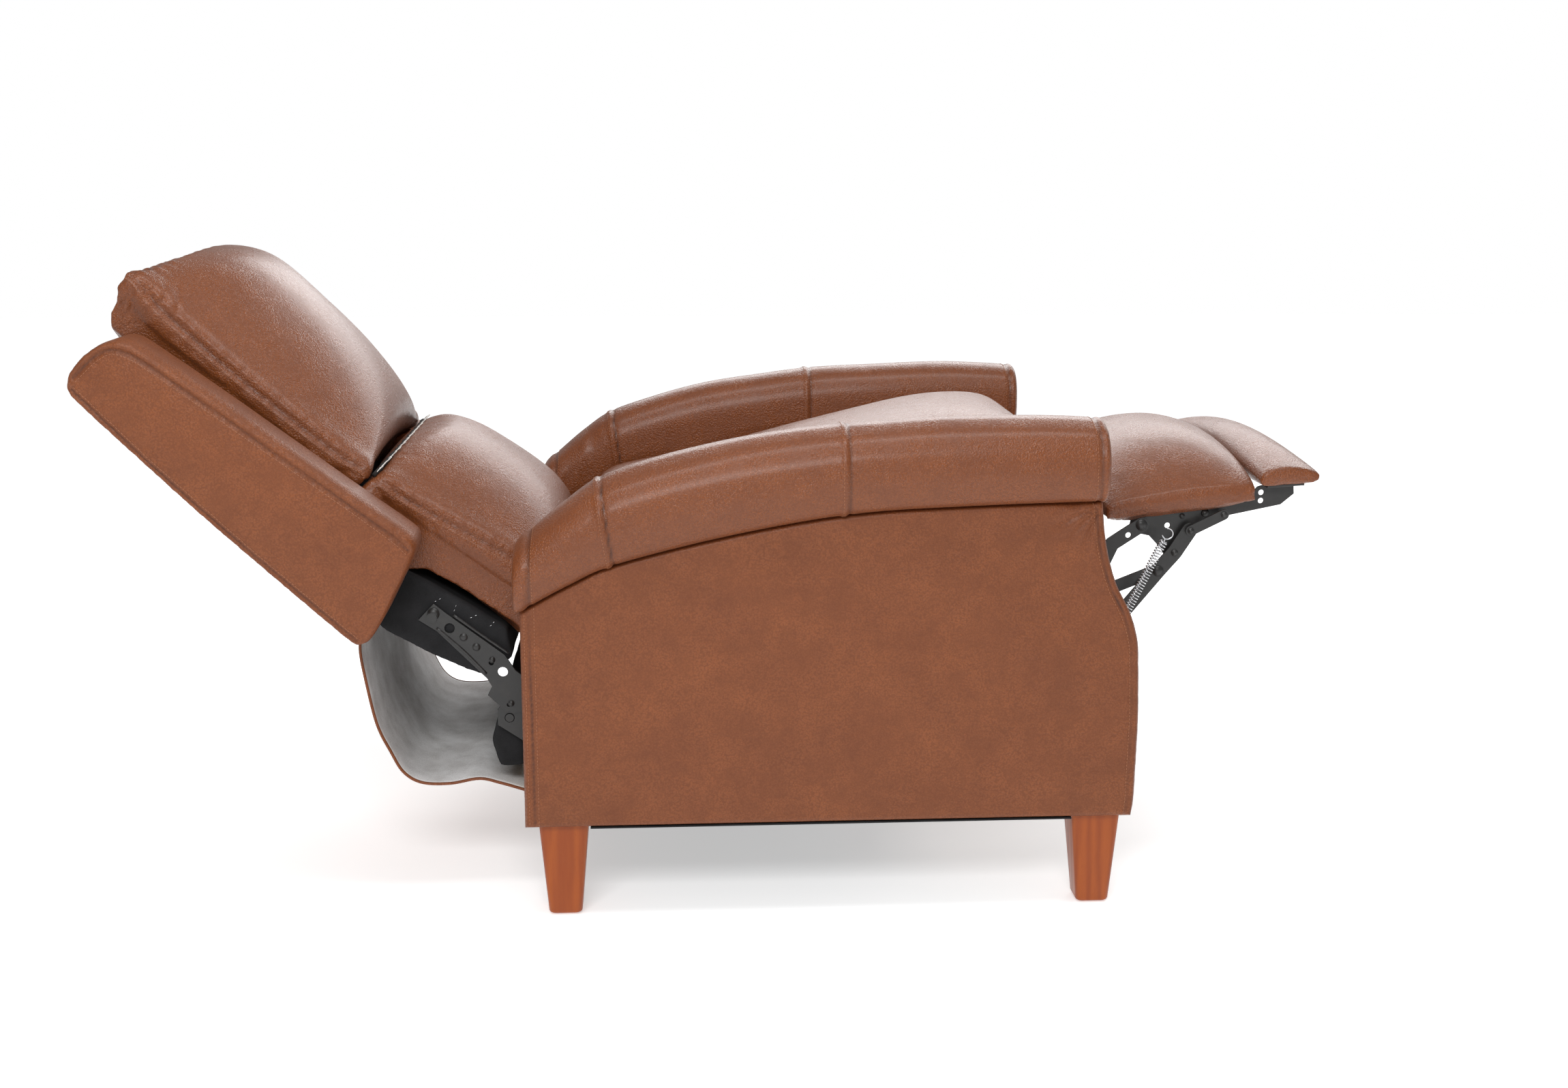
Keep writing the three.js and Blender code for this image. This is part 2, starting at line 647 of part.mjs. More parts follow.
// ---- Footrest boards and pads -------------------------------------------------------------------
const padBoard = [[3, 0.4], [196, 0.4], [196, 12.6], [3, 12.6]].map(([u, v]) => padPlace(u, v));
addPart(standing, 'footrest_board', bare(acrossWidth(outline(padBoard), [-240, 240])), RAW_WOOD);
const padSide = [
  [0, 13], [100, 13], [199, 13], [201, 18], [196, 27], [143, 30], [72, 30], [4, 29], [-6, 20],
];
const padCrown = [
  [0, 13], [100, 13], [199, 13], [202, 28], [190, 70], [143, 98], [72, 102], [8, 74], [-6, 34],
];
addPart(standing, 'footrest_pad', crowned(padSide, padCrown, PAD_HALF, padPlace), LEATHER);
const flipBoard = [[2, 0.4], [70, 0.4], [70, 10.4], [2, 10.4]].map(([u, v]) => flipPlace(u, v));
addPart(standing, 'extension_board', bare(acrossWidth(outline(flipBoard), [-240, 240])), RAW_WOOD);
const flipSide = [[1, 11], [36, 11], [72, 11], [80, 14], [78, 20], [66, 28], [36, 32], [8, 32], [0, 20]];
const flipCrown = [[1, 11], [36, 11], [74, 11], [84, 18], [77, 34], [60, 46], [36, 50], [10, 48], [0, 26]];
addPart(standing, 'extension_pad', crowned(flipSide, flipCrown, PAD_HALF, flipPlace), LEATHER);

export default chair;
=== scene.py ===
import math
import bpy
import numpy as np
from mathutils import Matrix, Vector
from mathutils.bvhtree import BVHTree
from mathutils.kdtree import KDTree


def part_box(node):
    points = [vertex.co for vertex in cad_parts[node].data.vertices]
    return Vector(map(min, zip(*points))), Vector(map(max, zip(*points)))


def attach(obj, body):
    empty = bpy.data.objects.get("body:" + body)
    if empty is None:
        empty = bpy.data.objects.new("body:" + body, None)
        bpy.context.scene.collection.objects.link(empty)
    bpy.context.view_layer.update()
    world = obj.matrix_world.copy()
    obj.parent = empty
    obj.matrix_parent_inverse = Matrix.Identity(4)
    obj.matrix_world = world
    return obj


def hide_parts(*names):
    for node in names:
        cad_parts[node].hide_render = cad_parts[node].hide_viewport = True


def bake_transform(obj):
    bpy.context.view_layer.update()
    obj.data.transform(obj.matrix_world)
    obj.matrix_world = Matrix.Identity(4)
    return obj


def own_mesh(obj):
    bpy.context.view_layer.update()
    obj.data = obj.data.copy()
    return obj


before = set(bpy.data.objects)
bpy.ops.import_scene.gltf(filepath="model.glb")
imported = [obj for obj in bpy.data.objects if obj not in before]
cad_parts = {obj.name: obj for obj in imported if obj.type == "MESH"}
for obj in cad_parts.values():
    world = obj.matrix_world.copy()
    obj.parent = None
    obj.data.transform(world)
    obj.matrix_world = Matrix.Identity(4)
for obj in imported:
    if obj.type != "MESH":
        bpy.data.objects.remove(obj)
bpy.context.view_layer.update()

# ---- Camera, floor and studio light ---------------------------------------------------------
# The chair stands on a pale seamless floor in a white studio, with a strip softbox overhead and
# wide ones in front and behind. The camera looks at its right side from a little above.
CHAIR_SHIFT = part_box("side_panel_right")[0][0] + 0.405
LENS = 42.5124
SENSOR = 36
CAMERA_YAW = 0.0651
CAMERA_DIP = 0.2074
CAMERA_ROLL = 0.00225
CAMERA_PLACE = Vector((-0.2154 + CHAIR_SHIFT, -2.6935, 1.0006))

ahead = Vector((
    math.sin(CAMERA_YAW) * math.cos(CAMERA_DIP),
    math.cos(CAMERA_YAW) * math.cos(CAMERA_DIP),
    -math.sin(CAMERA_DIP),
))
level_right = Vector((math.cos(CAMERA_YAW), -math.sin(CAMERA_YAW), 0))
level_up = level_right.cross(ahead)
right = level_right * math.cos(CAMERA_ROLL) + level_up * math.sin(CAMERA_ROLL)
up = level_up * math.cos(CAMERA_ROLL) - level_right * math.sin(CAMERA_ROLL)
camera_data = bpy.data.cameras.new("camera")
camera_data.sensor_width = SENSOR
camera_data.lens = LENS
camera = bpy.data.objects.new("camera", camera_data)
bpy.context.collection.objects.link(camera)
camera.matrix_world = Matrix((
    (right.x, up.x, -ahead.x, CAMERA_PLACE.x),
    (right.y, up.y, -ahead.y, CAMERA_PLACE.y),
    (right.z, up.z, -ahead.z, CAMERA_PLACE.z),
    (0, 0, 0, 1),
))
bpy.context.scene.camera = camera
bpy.context.scene.view_settings.view_transform = "Standard"


def plain_material(name, colour, roughness, metallic=0.0):
    """A node material with one Principled shader, and that shader."""
    material = bpy.data.materials.new(name)
    material.use_nodes = True
    shader = material.node_tree.nodes["Principled BSDF"]
    shader.inputs["Base Color"].default_value = (*colour, 1)
    shader.inputs["Roughness"].default_value = roughness
    shader.inputs["Metallic"].default_value = metallic
    return material, shader


def mesh_object(name, points=(), edges=(), faces=()):
    """A mesh object from points in metres."""
    mesh = bpy.data.meshes.new(name)
    mesh.from_pydata(points, edges, faces)
    made = bpy.data.objects.new(name, mesh)
    bpy.context.collection.objects.link(made)
    return made


FLOOR_REACH = 9.0
studio_floor = mesh_object("studio_floor", faces=[(0, 1, 2, 3)], points=[
    (x * FLOOR_REACH, y * FLOOR_REACH, 0) for x, y in ((-1, -1), (1, -1), (1, 1), (-1, 1))])
floor_paint, floor_shader = plain_material("floor_paint", (0.93, 0.93, 0.93), 0.9)
# The floor also glows, as painted light: weaker near the chair and stronger further out, it lifts the
# shadow under the chair, lights the chair a little from below and keeps the far floor as white as the
# backdrop.
floor_shader.inputs["Emission Color"].default_value = (1, 1, 1, 1)
floor_shader.inputs["Emission Strength"].default_value = 1.0
floor_nodes = floor_paint.node_tree.nodes
floor_links = floor_paint.node_tree.links
floor_spread = floor_nodes.new("ShaderNodeVectorMath")
floor_spread.operation = "LENGTH"
floor_links.new(floor_nodes.new("ShaderNodeTexCoord").outputs["Object"], floor_spread.inputs[0])
floor_glow = floor_nodes.new("ShaderNodeMapRange")
for label, value in (("From Min", 0.9), ("From Max", 3.2), ("To Min", 0.46), ("To Max", 0.72)):
    floor_glow.inputs[label].default_value = value
floor_links.new(floor_spread.outputs["Value"], floor_glow.inputs["Value"])
floor_links.new(floor_glow.outputs["Result"], floor_shader.inputs["Emission Color"])
studio_floor.data.materials.append(floor_paint)

world = bpy.data.worlds.new("studio")
world.use_nodes = True
world.node_tree.nodes["Background"].inputs["Color"].default_value = (1.0, 1.0, 1.0, 1)
SKY_LIGHT = 0.36
SKY_SEEN = 1.0
sky = world.node_tree.nodes["Background"]
sky_path = world.node_tree.nodes.new("ShaderNodeLightPath")
sky_level = world.node_tree.nodes.new("ShaderNodeMapRange")
sky_level.inputs["To Min"].default_value = SKY_LIGHT
sky_level.inputs["To Max"].default_value = SKY_SEEN
world.node_tree.links.new(sky_path.outputs["Is Camera Ray"], sky_level.inputs["Value"])
world.node_tree.links.new(sky_level.outputs["Result"], sky.inputs["Strength"])
bpy.context.scene.world = world


def softbox(name, place, aim, width, depth, watts):
    """A rectangular area light that faces a point."""
    light = bpy.data.lights.new(name, "AREA")
    light.shape = "RECTANGLE"
    light.size = width
    light.size_y = depth
    light.energy = watts
    lamp = bpy.data.objects.new(name, light)
    lamp.location = place
    lamp.rotation_euler = (Vector(aim) - Vector(place)).to_track_quat("-Z", "Y").to_euler()
    bpy.context.collection.objects.link(lamp)


softbox("overhead_softbox", (0.1, -0.7, 2.6), (0.0, -0.1, 0.5), 2.4, 0.4, 27)
softbox("front_softbox", (-0.6, -3.4, 2.7), (0.0, 0.0, 0.4), 2.2, 1.0, 79)
softbox("rear_softbox", (0.9, 2.9, 1.9), (0.0, 0.0, 0.6), 3.4, 1.3, 56)


# ---- Leather --------------------------------------------------------------------------------
# Corrected-grain leather in a warm brown: a pebbled surface, a cloudy two-tone stain that is
# darker in the dips, and a soft satin top coat. Every leather piece uses the same hide.
# Seam grooves are darkened with painted shade (SEAM_SHADE).
HIDE_DARK = (0.165, 0.043, 0.0095)
HIDE_LIGHT = (0.245, 0.069, 0.0165)
HIDE_EDGE = (0.080, 0.019, 0.005)
SEAM_SHADE = (0.052, 0.014, 0.005)
PEBBLES_PER_METRE = 390.0
PEBBLE_HEIGHT = 0.0009
DIP_DARKENING = 0.42


def math_node(tree, operation, a, b=None, clamp=False):
    """The output of one Math node; a and b are sockets or numbers."""
    made = tree.nodes.new("ShaderNodeMath")
    made.operation = operation
    made.use_clamp = clamp
    for socket, value in zip(made.inputs, (a, b)):
        if value is None:
            continue
        if isinstance(value, (int, float)):
            socket.default_value = value
        else:
            tree.links.new(value, socket)
    return made.outputs[0]


def colour_mix(tree, mask, first, second):
    """The colour between first and second that a mask picks; each may be a colour or a socket."""
    mix = tree.nodes.new("ShaderNodeMix")
    mix.data_type = "RGBA"
    tree.links.new(mask, mix.inputs[0])
    for socket, value in ((mix.inputs[6], first), (mix.inputs[7], second)):
        if isinstance(value, tuple):
            socket.default_value = (*value, 1)
        else:
            tree.links.new(value, socket)
    return mix.outputs[2]


def range_node(tree, value, low, high, new_low, new_high):
    made = tree.nodes.new("ShaderNodeMapRange")
    made.inputs["From Min"].default_value = low
    made.inputs["From Max"].default_value = high
    made.inputs["To Min"].default_value = new_low
    made.inputs["To Max"].default_value = new_high
    tree.links.new(value, made.inputs["Value"])
    return made.outputs["Result"]


def noise(tree, where, scale, detail=3.0, roughness=0.55):
    made = tree.nodes.new("ShaderNodeTexNoise")
    made.inputs["Scale"].default_value = scale
    made.inputs["Detail"].default_value = detail
    made.inputs["Roughness"].default_value = roughness
    tree.links.new(where, made.inputs["Vector"])
    return made.outputs["Fac"]


def object_place(tree):
    return tree.nodes.new("ShaderNodeTexCoord").outputs["Object"]


def grouped(tree, group, **values):
    """A node that runs a shader group on the object's own coordinates."""
    made = tree.nodes.new("ShaderNodeGroup")
    made.node_tree = group
    tree.links.new(object_place(tree), made.inputs["Vector"])
    for label, value in values.items():
        made.inputs[label].default_value = value
    return made.outputs


def raise_surface(tree, shader, height, strength, distance):
    """Bump from a height mask."""
    bump = tree.nodes.new("ShaderNodeBump")
    bump.inputs["Strength"].default_value = strength
    bump.inputs["Distance"].default_value = distance
    tree.links.new(height, bump.inputs["Height"])
    tree.links.new(bump.outputs["Normal"], shader.inputs["Normal"])


def new_group(name, inputs, outputs):
    tree = bpy.data.node_groups.new(name, "ShaderNodeTree")
    for label, kind, value in inputs:
        socket = tree.interface.new_socket(label, in_out="INPUT", socket_type=kind)
        if value is not None:
            socket.default_value = value
    for label, kind in outputs:
        tree.interface.new_socket(label, in_out="OUTPUT", socket_type=kind)
    return tree, tree.nodes.new("NodeGroupInput"), tree.nodes.new("NodeGroupOutput")


def build_hide_grain():
    """Pebbles with creases between them, and the cloudy stain, from a place on the hide."""
    tree, given, made = new_group(
        "hide_grain",
        [("Vector", "NodeSocketVector", None), ("Pebbles", "NodeSocketFloat", PEBBLES_PER_METRE),
         ("Cloudiness", "NodeSocketFloat", 1.0)],
        [("Height", "NodeSocketFloat"), ("Stain", "NodeSocketFloat"), ("Dip", "NodeSocketFloat")],
    )
    place = given.outputs["Vector"]
    wander = tree.nodes.new("ShaderNodeTexNoise")
    wander.inputs["Scale"].default_value = 170.0
    wander.inputs["Detail"].default_value = 1.0
    tree.links.new(place, wander.inputs["Vector"])
    shift = tree.nodes.new("ShaderNodeVectorMath")
    shift.operation = "MULTIPLY_ADD"
    tree.links.new(wander.outputs["Color"], shift.inputs[0])
    shift.inputs[1].default_value = (0.0032, 0.0032, 0.0032)
    tree.links.new(place, shift.inputs[2])
    heights = []
    for ratio in (1.0, 2.15):
        cells = tree.nodes.new("ShaderNodeTexVoronoi")
        cells.feature = "SMOOTH_F1"
        cells.inputs["Smoothness"].default_value = 0.35
        tree.links.new(shift.outputs[0], cells.inputs["Vector"])
        scale = math_node(tree, "MULTIPLY", given.outputs["Pebbles"], ratio)
        tree.links.new(scale, cells.inputs["Scale"])
        heights.append(range_node(tree, cells.outputs["Distance"], 0.1, 0.75, 1.0, 0.0))
    patches = range_node(tree, noise(tree, place, 34.0), 0.35, 0.65, 0.35, 1.0)
    coarse = math_node(tree, "MULTIPLY", heights[0], patches)
    fine = math_node(tree, "MULTIPLY", heights[1], 0.38)
    height = math_node(tree, "ADD", coarse, fine)
    tree.links.new(height, made.inputs["Height"])
    tree.links.new(range_node(tree, height, 0.15, 0.75, 1.0, 0.0), made.inputs["Dip"])
    broad = noise(tree, place, 11.0, 4.0, 0.62)
    close = noise(tree, place, 58.0, 4.0, 0.6)
    both = math_node(tree, "ADD", math_node(tree, "MULTIPLY", broad, 0.62),
                     math_node(tree, "MULTIPLY", close, 0.38))
    centred = math_node(tree, "SUBTRACT", both, 0.5)
    spread = math_node(tree, "MULTIPLY", centred, given.outputs["Cloudiness"])
    stain = range_node(tree, spread, -0.13, 0.13, 0.0, 1.0)
    tree.links.new(stain, made.inputs["Stain"])
    return tree


hide_grain = build_hide_grain()


def leather(name, cloudiness, pebble_bump, gloss, shine, coat):
    """The hide, with its own amounts of cloudy stain, pebbling, gloss and top coat."""
    material, shader = plain_material(name, HIDE_LIGHT, gloss)
    tree = material.node_tree
    grain = grouped(tree, hide_grain, Pebbles=PEBBLES_PER_METRE, Cloudiness=cloudiness)
    stained = colour_mix(tree, grain["Stain"], HIDE_DARK, HIDE_LIGHT)
    dips = math_node(tree, "MULTIPLY", grain["Dip"], DIP_DARKENING)
    grained = colour_mix(tree, dips, stained, HIDE_EDGE)
    # Painted shade: the seam attribute darkens the hide towards SEAM_SHADE in the seam grooves.
    seam = tree.nodes.new("ShaderNodeAttribute")
    seam.attribute_name = "seam"
    tree.links.new(colour_mix(tree, seam.outputs["Fac"], grained, SEAM_SHADE),
                   shader.inputs["Base Color"])
    rough = range_node(tree, grain["Dip"], 0.0, 1.0, gloss - 0.03, gloss + 0.16)
    tree.links.new(rough, shader.inputs["Roughness"])
    raise_surface(tree, shader, grain["Height"], pebble_bump, PEBBLE_HEIGHT)
    shader.inputs["Specular IOR Level"].default_value = shine
    shader.inputs["Coat Weight"].default_value = coat
    shader.inputs["Coat Roughness"].default_value = 0.24
    shader.inputs["Sheen Weight"].default_value = 0.03
    shader.inputs["Sheen Roughness"].default_value = 0.45
    return material


cushion_leather = leather("cushion_leather", 0.4, 0.8, 0.28, 0.36, 0.20)
panel_leather = leather("panel_leather", 0.5, 0.5, 0.42, 0.36, 0.06)

# The seam thread is a thick polyester cord, a shade lighter than the hide.
THREAD_DARK = (0.24, 0.09, 0.04)
THREAD_LIGHT = (0.40, 0.17, 0.08)
thread, thread_shader = plain_material("seam_thread", (0.36, 0.14, 0.055), 0.6)
twist = thread.node_tree.nodes.new("ShaderNodeTexWave")
twist.inputs["Scale"].default_value = 900.0
thread.node_tree.links.new(object_place(thread.node_tree), twist.inputs["Vector"])
thread.node_tree.links.new(
    colour_mix(thread.node_tree, twist.outputs["Fac"], THREAD_DARK, THREAD_LIGHT),
    thread_shader.inputs["Base Color"],
)


def smooth_line(points, steps, closed=False):
    """A Catmull-Rom line through the points, with the same number of steps between each two."""
    p = np.asarray(points, float)
    if closed:
        padded_points = np.vstack([p[-1:], p, p[:2]])
    else:
        padded_points = np.vstack([2 * p[:1] - p[1:2], p, 2 * p[-1:] - p[-2:-1]])
    t = np.linspace(0, 1, steps, endpoint=False)[:, None]
    runs = []
    for a, b, c, d in zip(padded_points, padded_points[1:], padded_points[2:], padded_points[3:]):
        runs.append(0.5 * (2 * b + (c - a) * t + (2 * a - 5 * b + 4 * c - d) * t ** 2
                           + (3 * b - a - 3 * c + d) * t ** 3))
    if not closed:
        runs.append(p[-1:])
    return np.vstack(runs)


def evenly(line, count, closed=False):
    """The line again, as count places with the same distance between them."""
    line = np.asarray(line, float)
    if closed:
        line = np.vstack([line, line[:1]])
    gaps = np.linalg.norm(np.diff(line, axis=0), axis=1)
    run = np.concatenate([[0], np.cumsum(gaps)])
    wanted = np.linspace(0, run[-1], count, endpoint=not closed)
    return np.column_stack([np.interp(wanted, run, line[:, k]) for k in range(line.shape[1])])


def to_metres(points):
    """Millimetres from the middle of the base, as metres in the row frame."""
    return np.asarray(points, float) / 1000 + (CHAIR_SHIFT, 0, 0)


def new_piece(name, points, faces, *materials):
    """A smooth-shaded mesh object from points in millimetres and lists of corners."""
    piece = mesh_object(name, to_metres(points).tolist(), faces=[tuple(map(int, f)) for f in faces])
    piece.data.validate()
    piece.data.shade_smooth()
    for material in materials:
        piece.data.materials.append(material)
    return piece


def ring_faces(count, rings):
    """Four-sided faces between rings of count points, and a fan of faces over each end."""
    faces = []
    for r in range(rings - 1):
        for i in range(count):
            j = (i + 1) % count
            faces.append((r * count + i, r * count + j, (r + 1) * count + j, (r + 1) * count + i))
    first, last = count * rings, count * rings + 1
    end = (rings - 1) * count
    faces += [(first, (i + 1) % count, i) for i in range(count)]
    faces += [(last, end + i, end + (i + 1) % count) for i in range(count)]
    return faces


def lofted(name, rings, *materials):
    """A closed skin over rings of points; its faces are turned outwards."""
    rings = np.asarray(rings, float)
    count = rings.shape[1]
    points = np.vstack([rings.reshape(-1, 3), rings[0].mean(0)[None], rings[-1].mean(0)[None]])
    piece = new_piece(name, points, ring_faces(count, len(rings)), *materials)
    face_outwards(piece)
    return piece


def face_outwards(piece):
    """Turns the faces of a closed piece over if it is inside out."""
    mesh = piece.data
    mesh.calc_loop_triangles()
    corners = np.empty(len(mesh.loop_triangles) * 3, int)
    mesh.loop_triangles.foreach_get("vertices", corners)
    a, b, c = coordinates(piece)[corners.reshape(-1, 3)].transpose(1, 0, 2)
    if np.einsum("ij,ij->i", a, np.cross(b, c)).sum() < 0:
        mesh.flip_normals()


def coordinates(piece):
    """The piece's points, in millimetres from the middle of the base."""
    flat = np.empty(len(piece.data.vertices) * 3)
    piece.data.vertices.foreach_get("co", flat)
    return (flat.reshape(-1, 3) - (CHAIR_SHIFT, 0, 0)) * 1000


def set_coordinates(piece, points):
    piece.data.vertices.foreach_set("co", to_metres(points).ravel())
    piece.data.update()


def outward(piece):
    flat = np.empty(len(piece.data.vertices) * 3)
    piece.data.vertex_normals.foreach_get("vector", flat)
    return flat.reshape(-1, 3)


def finish_mesh(piece):
    """Applies the piece's modifiers, so that what is left is a plain mesh."""
    graph = bpy.context.evaluated_depsgraph_get()
    finished = bpy.data.meshes.new_from_object(piece.evaluated_get(graph))
    piece.modifiers.clear()
    piece.data = finished
    finished.shade_smooth()


def remesh(piece, voxel, smoothing):
    """Even four-sided faces all over a closed piece, then a few rounds of smoothing."""
    cover = piece.modifiers.new("even_faces", "REMESH")
    cover.mode = "VOXEL"
    cover.voxel_size = voxel / 1000
    relax = piece.modifiers.new("relax", "SMOOTH")
    relax.factor = 0.5
    relax.iterations = smoothing
    finish_mesh(piece)


def subdivide(piece):
    split = piece.modifiers.new("split", "SUBSURF")
    split.levels = 1
    split.render_levels = 1
    finish_mesh(piece)


def nearest_on_line(points, line):
    """For each point, how far it is from a line, and how far along the line it is, in millimetres."""
    line = np.asarray(line, float)
    length = np.linalg.norm(np.diff(line, axis=0), axis=1).sum()
    fine = evenly(line, max(int(length / 2), 4))
    tree = KDTree(len(fine))
    for i, p in enumerate(fine):
        tree.insert(p, i)
    tree.balance()
    found = [tree.find(p) for p in points]
    step = length / (len(fine) - 1)
    return np.array([f[2] for f in found]), np.array([f[1] for f in found]) * step


def ripple(along, seed):
    """Uneven waves between -1 and 1, by distance along a seam."""
    rng = np.random.default_rng(seed)
    waves = np.zeros_like(along)
    for length in (9.0, 14.0, 23.0, 41.0):
        waves += np.sin(2 * math.pi * (along / (length * rng.uniform(0.9, 1.1)) + rng.uniform()))
    return waves / 4


def sew(piece, lines, depth=2.2, width=3.0, pucker=0.6, reach=14.0, seed=1):
    """Presses seams into a piece, gathers the hide a little on both sides of each, and paints shade into
    each seam.
    """
    points = coordinates(piece)
    push = np.zeros(len(points))
    shade = np.zeros(len(points))
    for k, line in enumerate(lines):
        away, along = nearest_on_line(points, line)
        shade = np.maximum(shade, 0.9 * np.exp(-(away / (0.42 * width)) ** 2))
        push -= depth * np.exp(-(away / width) ** 2)
        push += pucker * ripple(along, seed + k) * np.exp(-(away / reach) ** 2)
    set_coordinates(piece, points + outward(piece) * push[:, None])
    shade_seams(piece, shade)


def shade_seams(piece, shade):
    """Keeps how deep in a seam each point lies, for the leather to darken there as painted shade."""
    kept = piece.data.attributes.get("seam") or piece.data.attributes.new("seam", "FLOAT", "POINT")
    kept.data.foreach_set("value", np.asarray(shade, np.float32))


def fill(piece, seams, cap, force=4.0, hold=6.0):
    """Swells a cushion cover like stuffing does, by cloth simulation, with its seams held."""
    rest = coordinates(piece)
    held = piece.vertex_groups.new(name="seams")
    for line in seams:
        away, _ = nearest_on_line(rest, line)
        held.add([int(i) for i in np.nonzero(away < hold)[0]], 1.0, "REPLACE")
    cloth = piece.modifiers.new("stuffing", "CLOTH")
    cloth.settings.quality = 4
    cloth.settings.mass = 0.3
    cloth.settings.tension_stiffness = 15
    cloth.settings.compression_stiffness = 15
    cloth.settings.bending_stiffness = 0.6
    cloth.settings.use_pressure = True
    cloth.settings.uniform_pressure_force = force
    cloth.settings.effector_weights.gravity = 0
    cloth.settings.vertex_group_mass = "seams"
    cloth.collision_settings.use_collision = False
    cloth.point_cache.frame_start = 1
    cloth.point_cache.frame_end = 20
    for step in range(1, 21):
        bpy.context.scene.frame_set(step)
    graph = bpy.context.evaluated_depsgraph_get()
    swollen = piece.evaluated_get(graph).to_mesh()
    flat = np.empty(len(swollen.vertices) * 3)
    swollen.vertices.foreach_get("co", flat)
    piece.evaluated_get(graph).to_mesh_clear()
    piece.modifiers.clear()
    piece.vertex_groups.clear()
    bpy.context.scene.frame_set(1)
    moved = (flat.reshape(-1, 3) - (CHAIR_SHIFT, 0, 0)) * 1000 - rest
    length = np.linalg.norm(moved, axis=1, keepdims=True)
    set_coordinates(piece, rest + moved * np.minimum(1, cap / np.maximum(length, 1e-6)))


def surface_of(piece):
    mesh = piece.data
    return BVHTree.FromPolygons(
        [v.co[:] for v in mesh.vertices], [p.vertices[:] for p in mesh.polygons])


def laid_on(tree, line, lift=0.25):
    """A line in millimetres, laid on a surface and raised off it a little; in metres."""
    placed = []
    for p in to_metres(line):
        spot, normal, _, _ = tree.find_nearest(p)
        placed.append(tuple(spot + normal * lift / 1000))
    return placed


def geometry_tree(name, inputs, nodes, links):
    """A geometry tree with one mesh as its result. nodes gives each node's type and set values;
    links are pairs of node.Socket, where given and made are the tree's own ends."""
    tree = bpy.data.node_groups.new(name, "GeometryNodeTree")
    for label, kind, value in inputs:
        socket = tree.interface.new_socket(label, in_out="INPUT", socket_type=f"NodeSocket{kind}")
        if value is not None:
            socket.default_value = value
    tree.interface.new_socket("Mesh", in_out="OUTPUT", socket_type="NodeSocketGeometry")
    made = {"given": tree.nodes.new("NodeGroupInput"), "made": tree.nodes.new("NodeGroupOutput")}
    for key, (kind, values) in nodes.items():
        made[key] = tree.nodes.new(kind)
        for label, value in values.items():
            if label in made[key].inputs:
                made[key].inputs[label].default_value = value
            else:
                setattr(made[key], label, value)
    for first, second in links:
        node, socket = first.split(".")
        next_node, next_socket = second.split(".")
        tree.links.new(made[node].outputs[socket], made[next_node].inputs[next_socket])
    return tree


def run_tree(piece, tree, **wanted):
    """Makes the piece's mesh with a geometry tree and some of its inputs, such as Wire_Radius."""
    modifier = piece.modifiers.new("shape", "NODES")
    modifier.node_group = tree
    for item in tree.interface.items_tree:
        label = item.name.replace(" ", "_")
        if label in wanted:
            modifier[item.identifier] = wanted[label]
    finish_mesh(piece)


REALIZED = {
    "realize": ("GeometryNodeRealizeInstances", {}),
    "paint": ("GeometryNodeSetMaterial", {}),
}
REALIZE_LINKS = [("realize.Geometry", "paint.Geometry"), ("given.Metal", "paint.Material"),
                 ("paint.Geometry", "made.Mesh")]
# One thread stitch after another along lines.
stitching = geometry_tree(
    "stitching",
    [("Lines", "Geometry", None), ("Pitch", "Float", 0.0046), ("Half Stitch", "Float", 0.0017),
     ("Thread Radius", "Float", 0.00042), ("Metal", "Material", None)],
    {
        "curves": ("GeometryNodeMeshToCurve", {}),
        "spaced": ("GeometryNodeResampleCurve", {"mode": "LENGTH"}),
        "ball": ("GeometryNodeMeshUVSphere", {"Segments": 6, "Rings": 4, "Radius": 1.0}),
        "scale": ("ShaderNodeCombineXYZ", {}),
        "place": ("GeometryNodeInstanceOnPoints", {}),
        "tangent": ("GeometryNodeInputTangent", {}),
        "turn": ("FunctionNodeAlignRotationToVector", {"axis": "Z"}),
        **REALIZED,
    },
    [("given.Lines", "curves.Mesh"), ("curves.Curve", "spaced.Curve"), ("given.Pitch", "spaced.Length"),
     ("spaced.Curve", "place.Points"), ("ball.Mesh", "place.Instance"),
     ("tangent.Tangent", "turn.Vector"), ("turn.Rotation", "place.Rotation"),
     ("given.Thread Radius", "scale.X"), ("given.Thread Radius", "scale.Y"),
     ("given.Half Stitch", "scale.Z"), ("scale.Vector", "place.Scale"),
     ("place.Instances", "realize.Geometry")] + REALIZE_LINKS,
)


def stitch(name, lines, thread_material=thread):
    """One piece with the stitches along all these lines, which are in metres."""
    points, edges = [], []
    for line in lines:
        start = len(points)
        points += [tuple(p) for p in line]
        edges += [(start + i, start + i + 1) for i in range(len(line) - 1)]
    piece = mesh_object(name, points, edges)
    run_tree(piece, stitching, Metal=thread_material)
    return piece


def side_name(side):
    return "right" if side < 0 else "left"


